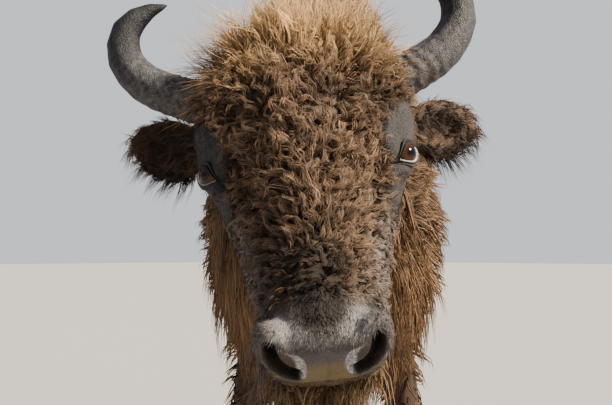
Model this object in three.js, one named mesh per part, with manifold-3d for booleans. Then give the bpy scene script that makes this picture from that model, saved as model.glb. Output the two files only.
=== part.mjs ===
// A European bison, or wisent: an adult bull standing square, its head lowered and tilted a little,
// out to the tips of the coat. Millimetres, +Z up. The animal faces -Y and its left side is +X.
// The origin is on the floor, under the centre of the whole model's box.
//
// Every part is a closed loft: cross-sections that run along the part, each set by a front or top
// point, a back or bottom point and a half width. The lofts of the flesh are joined, then parted
// by thin cuts where the body's parts meet.

import * as THREE from 'three';
import { mergeVertices } from 'three/addons/utils/BufferGeometryUtils.js';
import Module from 'manifold-3d';

const wasm = await Module();
wasm.setup();

// ---------------------------------------------------------------- driving dimensions

const SEAM = 0.5; // gap between neighbouring pieces
const MERGE_DISTANCE = 1e-3; // corners closer than this are one
const SMALL_DOME = 15; // a rounded end lower than this needs few facets

const HUMP_TOP = 1815; // highest point of the back, over the hump's coat
const HUMP_Y = -380;
const CROUP_TOP = 1495;
const RUMP_Y = 1010;
const CHEST_FLOOR = 705; // underside of the chest, over its long hair
const BELLY_FLOOR = 705;
const CHEST_HALF_WIDTH = 340;

const FORE_FOOT = { x: 190, coronetBack: -438, fetlockBack: -418 };
const HIND_FOOT = { x: 170, coronetBack: 864, fetlockBack: 914 };

// Where the head hangs: the point midway between the eyes, and the head's turns about it.
const EYES_CENTRE = new THREE.Vector3(-52, -1300, 1172);
const FACE_PITCH = THREE.MathUtils.degToRad(45); // nose below the horizontal
const HEAD_ROLL = THREE.MathUtils.degToRad(6.3); // left side of the head up
const HEAD_YAW = THREE.MathUtils.degToRad(1.8); // muzzle to the right

const EYE_RADIUS = 21;
const EYE_CENTRE = { x: 127, y: 2, z: -8 }; // in the head's own frame
const EYE_AXIS = new THREE.Vector3(0.66, -0.5, 0.56).normalize();
const EYE_CORNER = new THREE.Vector3(-0.66, -0.75, 0.1); // towards the inner corner of the lids

const HORN_LINE = [
  [118, 102],
  [176, 126],
  [222, 150],
  [252, 193],
  [247, 235],
  [217, 259],
  [184, 267],
];
const HORN_REACH = { left: 0.965, right: 1 };
const HORN_ROOT_RADIUS = 32;
const HORN_SETBACK = 62; // behind the eyes

const KNEE_HEIGHT = 520;
const HOCK_HEIGHT = 640;
const HOOF_HEIGHT = 72;
const HOOF_LENGTH = 118;
const CLAW_WIDTH = 52;
const CLEFT = 3; // between the two claws of a hoof
const DEWCLAW_HEIGHT = 172;
const DEWCLAW_SPREAD = 22;

const COAT_COLOUR = 0x6b4a2f;
const DARK_COAT_COLOUR = 0x3a281c;
const MANE_COLOUR = 0x7d5733;
const SKIN_COLOUR = 0x4b4745;
const HORN_COLOUR = 0x5f5b56;
const EYE_COLOUR = 0x1c120c;

// ---------------------------------------------------------------- shaping

/** One cross-section: it spans from `top` to `bottom`, both [y, z], and `half` to each side. */
function ring(top, bottom, half, widest = 0.5, ridge = 1, keel = 1, shift = 0) {
  return [...top, ...bottom, half, widest, ridge, keel, shift];
}

/** Catmull-Rom value between the numbers of `keys` at place `t`, counted in keys. */
function between(keys, t) {
  const last = keys.length - 1;
  const i = Math.min(Math.floor(t), last - 1);
  const u = t - i;
  const [a, b, c, d] = [i - 1, i, i + 1, i + 2].map((k) => keys[Math.max(0, Math.min(last, k))]);
  return b.map((start, n) => {
    const rise = c[n] - start;
    const leaving = (c[n] - a[n]) / 2;
    const arriving = (d[n] - start) / 2;
    const bend = 3 * rise - 2 * leaving - arriving;
    return start + u * (leaving + u * (bend + u * (leaving + arriving - 2 * rise)));
  });
}

/** The corners of one cross-section, at `scale` of its size and carried on by `offset`. */
function sectionPoints(values, { sides, grow }, scale = 1, offset = new THREE.Vector3()) {
  const [topY, topZ, bottomY, bottomZ, half, widest, ridge, keel, shift] = values;
  const bottom = new THREE.Vector3(shift, bottomY, bottomZ);
  const span = new THREE.Vector3(shift, topY, topZ).sub(bottom);
  const stretch = 1 + (2 * grow) / span.length();
  const middle = bottom.clone().addScaledVector(span, widest).add(offset);
  return Array.from({ length: sides }, (_, j) => {
    const angle = (2 * Math.PI * j) / sides;
    const [c, s] = [Math.cos(angle), Math.sin(angle)];
    const power = s >= 0 ? ridge : keel;
    const reach = s >= 0 ? 1 - widest : widest;
    const up = Math.sign(s) * Math.abs(s) ** power * reach * stretch * scale;
    const out = Math.sign(c) * Math.abs(c) ** power * (half + grow) * scale;
    return middle.clone().addScaledVector(span, up).add(new THREE.Vector3(out, 0, 0));
  });
}

/** The direction that leads out of a loft at an end section, away from the one before it. */
function outwards(end, inner) {
  const normal = new THREE.Vector3(0, end[1] - end[3], end[2] - end[0]).normalize();
  const [rearward, upward] = [0, 1].map((n) => end[n] + end[n + 2] - inner[n] - inner[n + 2]);
  const onward = new THREE.Vector3(0, rearward, upward);
  return normal.dot(onward) < 0 ? normal.negate() : normal;
}

/** The shrinking sections that round off one end of a loft, and the pole that closes it. */
function endCap(end, inner, shape, dome) {
  const away = outwards(end, inner);
  const height = dome + shape.grow;
  const count = dome > SMALL_DOME ? 3 : Math.sign(dome);
  const rows = Array.from({ length: count }, (_, k) => {
    const turn = (((k + 1) / (count + 1)) * Math.PI) / 2;
    return sectionPoints(end, shape, Math.cos(turn), away.clone().multiplyScalar(height * Math.sin(turn)));
  });
  const [pole] = sectionPoints(end, shape, 0, away.clone().multiplyScalar(height));
  return { rows, pole };
}

/** The triangles that join rows of `sides` corners, and close both ends onto their poles. */
function tubeFaces(rowCount, sides) {
  const at = (i, j) => i * sides + (j % sides);
  const [startPole, endPole] = [rowCount * sides, rowCount * sides + 1];
  const index = [];
  for (let j = 0; j < sides; j++) {
    index.push(startPole, at(0, j + 1), at(0, j));
    index.push(endPole, at(rowCount - 1, j), at(rowCount - 1, j + 1));
    for (let i = 0; i < rowCount - 1; i++) {
      index.push(at(i, j), at(i, j + 1), at(i + 1, j + 1));
      index.push(at(i, j), at(i + 1, j + 1), at(i + 1, j));
    }
  }
  return index;
}

/**
 * A closed solid through cross-sections.
 * @param keys sections made by ring()
 * @param options steps: sections from one key to the next; sides: corners of a section; domes: how
 *   far the two ends bulge, 0 for a flat end; grow: how much larger than nominal
 */
function loft(keys, { steps = 1, sides = 20, domes = [0, 0], grow = 0 } = {}) {
  const shape = { sides, grow };
  const count = (keys.length - 1) * steps;
  const sections = Array.from({ length: count + 1 }, (_, i) => between(keys, i / steps));
  const start = endCap(sections[0], sections[1], shape, domes[0]);
  const end = endCap(sections[count], sections[count - 1], shape, domes[1]);
  const body = sections.map((values) => sectionPoints(values, shape));
  const rows = [...start.rows.reverse(), ...body, ...end.rows];
  const positions = [...rows.flat(), start.pole, end.pole].flatMap((point) => point.toArray());
  const geometry = new THREE.BufferGeometry();
  geometry.setAttribute('position', new THREE.Float32BufferAttribute(positions, 3));
  return geometry.setIndex(tubeFaces(rows.length, sides));
}

/** An ellipsoid of radii `size` about `centre`. */
function blob(centre, size, grow = 0, [across, down] = [16, 10]) {
  const geometry = new THREE.SphereGeometry(1, across, down);
  geometry.scale(...size.map((r) => r + grow));
  return geometry.translate(...centre);
}

/** The same triangles, facing the other way. */
function turnedInsideOut(faces) {
  const turned = faces.slice();
  for (let i = 0; i < faces.length; i += 3) {
    turned[i + 1] = faces[i + 2];
    turned[i + 2] = faces[i + 1];
  }
  return turned;
}

/** A closed mesh as a solid that can be joined and cut, with its faces turned outwards. */
function solid(geometry) {
  const bare = new THREE.BufferGeometry().setAttribute('position', geometry.getAttribute('position'));
  if (geometry.index) bare.setIndex(geometry.index);
  const merged = mergeVertices(bare, MERGE_DISTANCE);
  const vertProperties = merged.attributes.position.array;
  const make = (triVerts) => new wasm.Manifold(new wasm.Mesh({ numProp: 3, vertProperties, triVerts }));
  const faces = new Uint32Array(merged.index.array);
  const made = make(faces);
  return made.volume() > 0 ? made : make(turnedInsideOut(faces));
}

/** A solid as a mesh with flat-shaded facets. */
function geometryOf(shape) {
  const { numProp, vertProperties, triVerts } = shape.getMesh();
  const positions = new Float32Array((vertProperties.length / numProp) * 3);
  for (let i = 0; i < positions.length / 3; i++) {
    positions.set(vertProperties.subarray(i * numProp, i * numProp + 3), i * 3);
  }
  const geometry = new THREE.BufferGeometry();
  geometry.setAttribute('position', new THREE.BufferAttribute(positions, 3));
  geometry.setIndex(new THREE.BufferAttribute(triVerts, 1));
  const flat = geometry.toNonIndexed();
  flat.computeVertexNormals();
  return flat;
}

/** Everything on the side of a plane that `normal` points to, as a large block. */
function side(point, normal, gap = SEAM / 2) {
  const reach = 5000;
  const block = new THREE.BoxGeometry(reach, reach, reach).translate(0, 0, reach / 2 + gap);
  const turn = new THREE.Quaternion().setFromUnitVectors(
    new THREE.Vector3(0, 0, 1),
    new THREE.Vector3(...normal).normalize(),
  );
  return solid(block.applyQuaternion(turn).translate(...point));
}

/** Both sides of a thin plane cut: [the side the normal points to, the other side]. */
function parted(shape, point, normal) {
  const back = normal.map((n) => -n);
  return [shape.intersect(side(point, normal)), shape.intersect(side(point, back))];
}

/** The largest single body of a shape, which drops slivers left by a cut. */
function mainBody(shape) {
  return shape.decompose().reduce((a, b) => (a.volume() > b.volume() ? a : b));
}

const mirrored = new THREE.Matrix4().makeScale(-1, 1, 1);
const sideName = (hand) => (hand > 0 ? 'left' : 'right');

/** A shape made for the left side, as a solid on the left (hand 1) or the right (hand -1). */
function handed(geometry, hand) {
  if (hand < 0) geometry.applyMatrix4(mirrored);
  return solid(geometry);
}

// ---------------------------------------------------------------- the trunk and neck

// Sections from the rump to the throat: top line, underline, half width, share of the height
// where it is widest, how narrow it runs to the top and to the bottom, and its shift to the left.
const TORSO = [
  ring([RUMP_Y, 1335], [RUMP_Y - 20, 960], 172, 0.55, 0.95, 1.0),
  ring([935, 1425], [900, 860], 232, 0.58, 0.95, 1.1),
  ring([700, CROUP_TOP], [660, 795], 276, 0.55, 1.0, 1.0),
  ring([430, 1490], [400, 738], 296, 0.48, 1.05, 0.9),
  ring([140, 1555], [100, BELLY_FLOOR], 318, 0.44, 1.1, 0.85),
  ring([-140, 1695], [-150, 700], 334, 0.4, 1.2, 0.9),
  ring([HUMP_Y, HUMP_TOP], [HUMP_Y, CHEST_FLOOR], CHEST_HALF_WIDTH, 0.36, 1.28, 0.95),
  ring([-620, 1788], [-610, CHEST_FLOOR], 310, 0.34, 1.38, 1.0, -6),
  ring([-830, 1690], [-790, 780], 254, 0.4, 1.32, 1.1, -24),
  ring([-1000, 1565], [-945, 890], 208, 0.46, 1.08, 1.1, -42),
  ring([-1130, 1470], [-1070, 985], 165, 0.52, 1.0, 1.05, -56),
  ring([-1225, 1405], [-1140, 1050], 128, 0.54, 0.95, 1.0, -58),
];

// Where the trunk is parted: ahead of the shoulders, behind the ribs' front, and at the flank.
const SHOULDER_FRONT = [0, -700, 1250];
const RIBS_FRONT = [0, -60, 0];
const FLANK = [0, 500, 0];

// ---------------------------------------------------------------- the head, nose level, forehead up

const HEAD = [
  ring([215, 45], [150, -190], 130, 0.58, 1.0, 1.0),
  ring([190, 128], [105, -222], 155, 0.62, 0.82, 1.0),
  ring([122, 158], [65, -216], 160, 0.64, 0.8, 0.95),
  ring([62, 132], [22, -204], 158, 0.6, 0.9, 0.95),
  ring([8, 108], [-28, -188], 139, 0.52, 1.15, 0.95),
  ring([-46, 92], [-70, -170], 119, 0.44, 1.25, 0.9),
  ring([-104, 77], [-116, -152], 103, 0.4, 1.3, 0.9),
  ring([-160, 62], [-165, -138], 92, 0.38, 1.25, 0.95),
  ring([-214, 52], [-212, -126], 80, 0.42, 1.1, 0.95),
  ring([-262, 43], [-255, -117], 70, 0.5, 0.95, 0.9),
  ring([-302, 26], [-286, -103], 62, 0.52, 0.85, 0.85),
];

// Where the head is parted from the neck, in the model's frame.
const NAPE = [0, -1170, 1420];
const THROAT = [0, -1050, 1060];

// The front of the mouth line, and the upper edge of the bare nose, in the head's own frame.
const MOUTH = [0, -312, -52];
const NOSE_EDGE = [0, -258, 50];

const ORBIT = { centre: [103, 12, -14], size: [49, 56, 46] };
const CHEEK = { centre: [67, 34, -100], size: [55, 104, 92] };
const NOSTRIL_WING = { centre: [38, -286, -8], size: [31, 30, 34] };
const CHIN = { centre: [0, -262, -92], size: [46, 42, 30] };

const headMatrix = new THREE.Matrix4()
  .makeTranslation(EYES_CENTRE)
  .multiply(new THREE.Matrix4().makeRotationZ(-HEAD_YAW))
  .multiply(new THREE.Matrix4().makeRotationY(-HEAD_ROLL))
  .multiply(new THREE.Matrix4().makeRotationX(FACE_PITCH));

/** A point of the head's own frame, in the model's frame. */
function onHead(x, y, z) {
  return new THREE.Vector3(x, y, z).applyMatrix4(headMatrix).toArray();
}

/** A direction of the head's own frame, in the model's frame. */
function headDirection(x, y, z) {
  return new THREE.Vector3(x, y, z).transformDirection(headMatrix).toArray();
}

/** A shape made in the head's own frame, as a solid in the model's frame. */
function headSolid(geometry, hand = 1) {
  if (hand < 0) geometry.applyMatrix4(mirrored);
  return solid(geometry.applyMatrix4(headMatrix));
}

/** The comma-shaped pit of one nostril, from its narrow outer top down and in to its shallow end. */
function nostril(hand) {
  const mouthOfPit = -350;
  const comma = [
    [59, 16, 4, -278],
    [55, 6, 8, -278],
    [47, -5, 11, -280],
    [39, -16, 12, -288],
    [33, -29, 9, -298],
  ];
  const sections = comma.map(([x, z, half, floor]) => ring([mouthOfPit, z], [floor, z], half, 0.5, 1, 1, x));
  return headSolid(loft(sections, { sides: 8 }), hand);
}

function skull(grow = 0) {
  let shape = headSolid(loft(HEAD, { steps: 2, sides: 16, domes: [0, 16], grow }));
  for (const hand of [1, -1]) {
    for (const { centre, size } of [ORBIT, CHEEK, NOSTRIL_WING]) {
      shape = shape.add(headSolid(blob(centre, size, grow, [10, 6]), hand));
    }
  }
  return shape.add(headSolid(blob(CHIN.centre, CHIN.size, grow, [10, 6])));
}

// ---------------------------------------------------------------- horns, ears and eyes

/** How thick a horn is at share `t` of its length: stout, then running out to a point. */
function hornRadius(t) {
  const point = 1 - 0.55 * Math.max(0, (t - 0.75) / 0.25) ** 2;
  return HORN_ROOT_RADIUS * point * (1 - 0.16 * t) * Math.sqrt(1 - Math.max(0, (t - 0.3) / 0.72) ** 1.7);
}

/**
 * A horn: it leaves the side of the crown, then curls up and in, in the upright plane through its root.
 * The curve's points are how far out of the head's middle and how far above the eyes they lie.
 */
function horn(hand, grow = 0) {
  const reach = HORN_REACH[sideName(hand)];
  const stations = HORN_LINE.map(([out, rise]) => new THREE.Vector3(0, out * reach, rise));
  const line = new THREE.CatmullRomCurve3(stations);
  const count = 12;
  const sections = Array.from({ length: count + 1 }, (_, i) => {
    const t = i / count;
    const at = line.getPointAt(t);
    const along = line.getTangentAt(t);
    const radius = hornRadius(t) + grow;
    const [rise, out] = [radius * along.y, radius * along.z];
    return ring([at.y + out, at.z - rise], [at.y - out, at.z + rise], radius * 0.97);
  });
  const geometry = loft(sections, { sides: 10, domes: [6, 3] });
  const upright = new THREE.Matrix4().makeBasis(
    new THREE.Vector3(0, Math.SQRT1_2, -Math.SQRT1_2),
    new THREE.Vector3(1, 0, 0),
    new THREE.Vector3(0, Math.SQRT1_2, Math.SQRT1_2),
  );
  geometry.applyMatrix4(upright).translate(0, HORN_SETBACK * Math.SQRT1_2, -HORN_SETBACK * Math.SQRT1_2);
  return headSolid(geometry, hand);
}

// Along the ear, from its root to its tip: a leaf that is cupped on its front.
const EAR = [
  ring([14, 24], [14, -20], 30),
  ring([-28, 24], [-28, -22], 48),
  ring([-68, 20], [-68, -18], 54),
  ring([-102, 13], [-102, -11], 34),
];
const EAR_ROOT = [151, 84, -40];
const EAR_FACING = new THREE.Vector3(0.25, -0.62, 0.7).normalize();
const EAR_POSE = {
  left: { lift: THREE.MathUtils.degToRad(12), reach: 1 },
  right: { lift: THREE.MathUtils.degToRad(25), reach: 1.13 },
};

/** Puts a shape of the ear's own frame in its place at the side of the head. */
function earPlaced(geometry, { lift, reach }) {
  const level = new THREE.Vector3(1, 0, 0).projectOnPlane(EAR_FACING).normalize();
  const upright = new THREE.Vector3().crossVectors(EAR_FACING, level);
  const along = level.clone().multiplyScalar(Math.cos(lift)).addScaledVector(upright, Math.sin(lift));
  const across = new THREE.Vector3().crossVectors(EAR_FACING, along);
  const lie = new THREE.Matrix4().makeBasis(across, along.clone().negate(), EAR_FACING);
  return geometry.scale(1, reach, 1).applyMatrix4(lie).translate(...EAR_ROOT);
}

function ear(hand, grow = 0) {
  const pose = EAR_POSE[sideName(hand)];
  const leaf = headSolid(earPlaced(loft(EAR, { steps: 2, sides: 10, domes: [10, 20], grow }), pose), hand);
  if (grow) return leaf;
  const cup = headSolid(earPlaced(blob([0, -52, 30], [32, 48, 24], 0, [10, 6]), pose), hand);
  return leaf.subtract(cup);
}

/** The almond opening between the lids, which bares the front of the eyeball. */
function lidOpening(hand) {
  const { x, y, z } = EYE_CENTRE;
  const almond = new THREE.SphereGeometry(1, 12, 6).scale(17, 11, 9);
  const across = new THREE.Vector3().crossVectors(EYE_AXIS, EYE_CORNER).normalize();
  const along = new THREE.Vector3().crossVectors(across, EYE_AXIS);
  almond.applyMatrix4(new THREE.Matrix4().makeBasis(along, across, EYE_AXIS));
  const out = EYE_AXIS.clone().multiplyScalar(EYE_RADIUS);
  return headSolid(almond.translate(x + out.x, y + out.y, z + out.z), hand);
}

function eye(hand, grow = 0) {
  const { x, y, z } = EYE_CENTRE;
  return headSolid(blob([x, y, z], [EYE_RADIUS, EYE_RADIUS, EYE_RADIUS], grow, [12, 6]), hand);
}

// ---------------------------------------------------------------- beard and tail

// The beard hangs from the chin and the throat, in the model's frame, front to back.
const BEARD = [
  ring([-1396, 950], [-1402, 866], 48, 0.6, 1, 1.0, -40),
  ring([-1330, 1000], [-1330, 838], 60, 0.6, 1, 1.2, -44),
  ring([-1240, 1045], [-1236, 826], 64, 0.6, 1, 1.3, -48),
  ring([-1150, 1085], [-1140, 862], 60, 0.6, 1, 1.3, -50),
  ring([-1085, 1110], [-1062, 930], 48, 0.6, 1, 1.2, -50),
];

const TAIL_DOCK = [
  ring([985, 1350], [1000, 1290], 32),
  ring([1066, 1300], [1030, 1245], 30),
  ring([1100, 1180], [1056, 1170], 24),
  ring([1098, 1000], [1058, 1000], 21),
  ring([1090, 860], [1050, 860], 23),
];
const TAIL_TUFT = [
  ring([1090, 858], [1050, 858], 22),
  ring([1104, 770], [1036, 770], 38),
  ring([1100, 660], [1030, 660], 40),
  ring([1082, 570], [1042, 570], 22),
];

// ---------------------------------------------------------------- legs

// Sections of a leg from inside the trunk down to the hoof, each from its front point to its back.
const FORE_LEG = [
  ring([-570, 1090], [-290, 1040], 70, 0.5, 1, 1, 190),
  ring([-590, 900], [-300, 860], 80, 0.5, 1, 1, 203),
  ring([-572, 740], [-362, 715], 72, 0.52, 1, 1, 204),
  ring([-548, 600], [-402, 590], 58, 0.5, 1, 1, 200),
  ring([-540, 480], [-424, 480], 52, 0.5, 0.9, 0.9, 196),
  ring([-516, 400], [-430, 402], 39, 0.5, 1, 1, 194),
  ring([-506, 290], [-424, 292], 36, 0.5, 1, 1, 191),
  ring([-514, 195], [-410, 205], 45, 0.5, 0.95, 1, FORE_FOOT.x),
  ring([-528, 128], [-430, 152], 41, 0.5, 0.95, 1, FORE_FOOT.x),
  ring([-552, HOOF_HEIGHT + SEAM], [-438, HOOF_HEIGHT + SEAM], 51, 0.5, 0.9, 0.95, FORE_FOOT.x),
];

const HIND_LEG = [
  ring([680, 1280], [940, 1240], 50, 0.5, 1, 1, 130),
  ring([640, 1165], [1000, 1150], 84, 0.5, 1, 1, 156),
  ring([604, 1040], [1052, 1060], 94, 0.5, 1, 1, 182),
  ring([612, 880], [1052, 925], 84, 0.5, 1, 1, 192),
  ring([706, 745], [1010, 800], 66, 0.5, 1, 1, 190),
  ring([812, 640], [985, 690], 48, 0.5, 1, 1, 186),
  ring([846, 555], [978, 600], 41, 0.5, 0.95, 0.9, 182),
  ring([856, 470], [950, 478], 36, 0.5, 1, 1, 178),
  ring([846, 330], [930, 334], 33, 0.5, 1, 1, 174),
  ring([820, 205], [922, 222], 43, 0.5, 0.95, 1, HIND_FOOT.x),
  ring([792, 132], [888, 160], 39, 0.5, 0.95, 1, HIND_FOOT.x),
  ring([756, HOOF_HEIGHT + SEAM], [864, HOOF_HEIGHT + SEAM], 49, 0.5, 0.9, 0.95, HIND_FOOT.x),
];

/** One of a hoof's two claws: a wedge with a flat sole and a sloping front. */
function claw({ x, coronetBack }, outer, hand) {
  const middle = x + (outer ? 1 : -1) * (CLAW_WIDTH / 2 + CLEFT / 2);
  const toe = coronetBack - HOOF_LENGTH;
  const half = CLAW_WIDTH / 2;
  const sections = [
    ring([toe - 22, 0], [coronetBack + 4, 0], half, 0.45, 0.95, 0.7, middle),
    ring([toe - 12, HOOF_HEIGHT * 0.4], [coronetBack + 3, HOOF_HEIGHT * 0.4], half, 0.45, 0.9, 0.7, middle),
    ring([toe + 4, HOOF_HEIGHT], [coronetBack, HOOF_HEIGHT], half - 2, 0.45, 0.9, 0.8, middle),
  ];
  return handed(loft(sections, { sides: 12 }), hand);
}

/** A dewclaw: a blunt stud behind the fetlock. */
function dewclaw({ x, fetlockBack }, outer, hand, grow = 0) {
  const middle = x + (outer ? 1 : -1) * DEWCLAW_SPREAD;
  const [back, z] = [fetlockBack, DEWCLAW_HEIGHT];
  const sections = [
    ring([back - 30, z + 18], [back - 22, z - 12], 12, 0.5, 1, 1, middle),
    ring([back + 8, z - 2], [back + 2, z - 24], 11, 0.5, 1, 1, middle),
  ];
  return handed(loft(sections, { sides: 7, domes: [0, 7], grow }), hand);
}

// ---------------------------------------------------------------- assembly

const material = (color, roughness) => new THREE.MeshStandardMaterial({ color, roughness, metalness: 0 });
const coat = material(COAT_COLOUR, 0.9);
const darkCoat = material(DARK_COAT_COLOUR, 0.9);
const mane = material(MANE_COLOUR, 0.95);
const bareSkin = material(SKIN_COLOUR, 0.55);
const keratin = material(HORN_COLOUR, 0.6);
const gloss = material(EYE_COLOUR, 0.08);

const bison = new THREE.Group();

function add(name, shape, finish) {
  const mesh = new THREE.Mesh(geometryOf(mainBody(shape)), finish);
  mesh.name = name;
  bison.add(mesh);
}

const torsoOptions = { steps: 2, sides: 20, domes: [62, 0] };
const torso = solid(loft(TORSO, torsoOptions));
const grownTorso = solid(loft(TORSO, { ...torsoOptions, grow: SEAM }));

/** Builds one leg, which ends against the trunk, with its hoof and dewclaws. */
function addLeg({ name, keys, foot, knee }, hand) {
  const tag = sideName(hand);
  let leg = handed(loft(keys, { sides: 12 }), hand).subtract(grownTorso);
  for (const outer of [true, false]) {
    const place = `${tag}_${outer ? 'outer' : 'inner'}`;
    leg = leg.subtract(dewclaw(foot, outer, hand, SEAM));
    add(`${name}dewclaw_${place}`, dewclaw(foot, outer, hand), keratin);
    add(`${name}hoof_${place}`, claw(foot, outer, hand), keratin);
  }
  const [upper, lower] = parted(leg, [0, 0, knee], [0, 0, 1]);
  add(`${name}leg_${tag}_upper`, upper, coat);
  add(`${name}leg_${tag}_lower`, lower, darkCoat);
}

/** The space that holds the head: in front of a plane behind the ears, and of one at the throat. */
function headZone(gap) {
  const behindEars = side(NAPE, [0, -0.94, -0.34], gap);
  return behindEars.intersect(side(THROAT, [0, -1, 0], gap));
}

/** Builds the head with all it carries, and returns what the neck keeps of the joined flesh. */
function addHead() {
  let flesh = torso.add(skull());
  for (const hand of [1, -1]) {
    const tag = sideName(hand);
    flesh = flesh.subtract(horn(hand, SEAM)).subtract(ear(hand, SEAM)).subtract(eye(hand, SEAM));
    flesh = flesh.subtract(nostril(hand)).subtract(lidOpening(hand));
    add(`horn_${tag}`, horn(hand), keratin);
    add(`ear_${tag}`, ear(hand).subtract(horn(hand, SEAM)), darkCoat);
    add(`eye_${tag}`, eye(hand), gloss);
  }
  const front = flesh.intersect(headZone(SEAM / 2));
  const rest = flesh.subtract(headZone(-SEAM / 2));
  const [upperHead, belowMouth] = parted(front, onHead(...MOUTH), headDirection(0, 0.2, 1));
  add('lower_jaw', belowMouth, coat);
  const [muzzle, cranium] = parted(upperHead, onHead(...NOSE_EDGE), headDirection(0, -1, 0.15));
  add('muzzle', muzzle, bareSkin);
  add('head', cranium, coat);
  return rest;
}

const behindHead = addHead();
const [neck, trunk] = parted(behindHead, SHOULDER_FRONT, [0, -1, 0.12]);
const [forequarters, rear] = parted(trunk, RIBS_FRONT, [0, -1, 0]);
const [barrel, hindquarters] = parted(rear, FLANK, [0, -1, 0]);
add('neck', neck, mane);
add('forequarters', forequarters, mane);
add('barrel', barrel, coat);
const dock = { steps: 2, sides: 8 };
add('hindquarters', hindquarters.subtract(solid(loft(TAIL_DOCK, { ...dock, grow: SEAM }))), coat);
const beard = solid(loft(BEARD, { steps: 2, sides: 8, domes: [14, 10] }));
add('beard', beard.subtract(grownTorso.add(skull(SEAM))), mane);
for (const hand of [1, -1]) {
  addLeg({ name: 'fore', keys: FORE_LEG, foot: FORE_FOOT, knee: KNEE_HEIGHT }, hand);
  addLeg({ name: 'hind', keys: HIND_LEG, foot: HIND_FOOT, knee: HOCK_HEIGHT }, hand);
}
add('tail_dock', solid(loft(TAIL_DOCK, dock)), coat);
add('tail_tuft', solid(loft(TAIL_TUFT, { steps: 2, sides: 8, domes: [0, 30] })), darkCoat);

const box = new THREE.Box3().setFromObject(bison);
const middle = box.getCenter(new THREE.Vector3());
bison.position.set(-middle.x, -middle.y, -box.min.z);

export default bison;
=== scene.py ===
"""The looks of a life-size standing European bison: skin, coat, eyes, horns and hooves, and its studio."""

import logging
import math
from collections.abc import Callable, Sequence
from dataclasses import dataclass, field, fields
from enum import Enum

import bmesh
import bpy
import numpy as np
from mathutils import Matrix, Vector


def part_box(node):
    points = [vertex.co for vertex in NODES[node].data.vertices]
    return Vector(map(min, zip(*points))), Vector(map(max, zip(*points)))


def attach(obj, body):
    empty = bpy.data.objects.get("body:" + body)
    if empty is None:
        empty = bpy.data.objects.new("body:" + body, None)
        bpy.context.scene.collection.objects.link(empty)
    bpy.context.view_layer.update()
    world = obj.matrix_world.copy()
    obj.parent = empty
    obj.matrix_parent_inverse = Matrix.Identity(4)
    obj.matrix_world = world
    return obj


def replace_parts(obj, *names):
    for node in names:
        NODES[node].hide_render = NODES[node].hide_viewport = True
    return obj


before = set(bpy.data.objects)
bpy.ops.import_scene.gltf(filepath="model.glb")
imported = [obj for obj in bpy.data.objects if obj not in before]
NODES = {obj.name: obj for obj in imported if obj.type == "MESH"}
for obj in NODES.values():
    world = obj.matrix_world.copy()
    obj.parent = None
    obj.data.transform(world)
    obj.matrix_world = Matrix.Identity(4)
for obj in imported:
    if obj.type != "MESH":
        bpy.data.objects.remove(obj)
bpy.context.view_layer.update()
LOG = logging.getLogger("bison")

Array = np.ndarray
Field = Callable[["Places"], Array]

SEED = 20261
SIDES = {"left": 1.0, "right": -1.0}

# The head's own frame: x to the animal's left, y from the nose to the nape, z out of the forehead.
FACE_PITCH = math.radians(45)
NAPE_FACING = np.array([0.0, -0.94, -0.34])  # square to where the head meets the neck, in the model's frame
HEAD_ROLL = math.radians(6.3)
HEAD_YAW = math.radians(1.8)
EYE_CENTRE = np.array([0.127, 0.002, -0.008])
EYE_RADIUS = 0.021
EYE_AXIS = np.array([0.66, -0.5, 0.56]) / np.linalg.norm([0.66, -0.5, 0.56])
EYE_CORNER = np.array([-0.66, -0.75, 0.1])  # towards the inner corner of the lids
WHORL = np.array([0.0, -0.238, 0.047])  # on the nose, where the face's hair parts

EAR_ROOT = np.array([0.151, 0.084, -0.040])
EAR_FACING = np.array([0.25, -0.62, 0.7]) / np.linalg.norm([0.25, -0.62, 0.7])
EAR_LIFT = {"left": math.radians(12), "right": math.radians(25)}
EAR_LENGTH = 0.13
EAR_REACH = 0.075  # to either side of the ear's middle line
EAR_FRINGE = 0.015  # how much farther its long hair reaches

HORN_LINE = [
    (0.118, 0.102),
    (0.176, 0.126),
    (0.222, 0.150),
    (0.252, 0.193),
    (0.247, 0.235),
    (0.217, 0.259),
    (0.184, 0.267),
]
HORN_REACH = {"left": 0.965, "right": 1.0}
HORN_SETBACK = 0.062
HORN_SOCKET = np.array([0.122, HORN_SETBACK * 0.72 + 0.07, 0.030])
TEAR_LINE = np.array([[0.110, -0.026, 0.004], [0.112, -0.050, -0.020], [0.113, -0.085, -0.050]])

# Rounds in which the skin's faces are split: how close to an eye, and how far down the nose.
SPLITTING = ((0.050, -0.232), (0.042, -0.268), (0.030, -1.0))

# The nose seen from the front: each point is x and z in the head's frame.
NOSTRIL_EDGE = (
    (0.0555, 0.0180), (0.0495, 0.0180), (0.0430, 0.0120), (0.0365, 0.0075), (0.0260, 0.0030),
    (0.0205, -0.0040), (0.0190, -0.0160), (0.0205, -0.0340), (0.0290, -0.0420), (0.0395, -0.0390),
    (0.0510, -0.0330), (0.0590, -0.0220), (0.0605, 0.0030), (0.0590, 0.0130), (0.0555, 0.0180),
)
NOSTRIL_HOLE = ((0.055, 0.011), (0.0545, -0.004), (0.051, -0.018), (0.043, -0.029), (0.033, -0.035))
# The middle line of the painted reflection on the nostrils' moist floor.
NOSTRIL_FLOOR = ((0.036, 0.003), (0.029, -0.003), (0.0245, -0.012), (0.024, -0.024), (0.026, -0.034))
NOSTRIL_FILL = (  # x, z and radius of the wing's thick edge and of what fills the solid's notch
    (0.050, 0.012, 0.014), (0.055, 0.002, 0.013), (0.048, -0.008, 0.014), (0.039, -0.017, 0.014),
    (0.033, -0.028, 0.014), (0.060, 0.018, 0.0075), (0.0605, 0.008, 0.0080), (0.061, -0.002, 0.0080),
    (0.0605, -0.012, 0.0080), (0.054, 0.022, 0.0090), (0.046, 0.020, 0.010),
)
MOUTH_FRONT = np.array([0.0, -0.312, -0.052])
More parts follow.
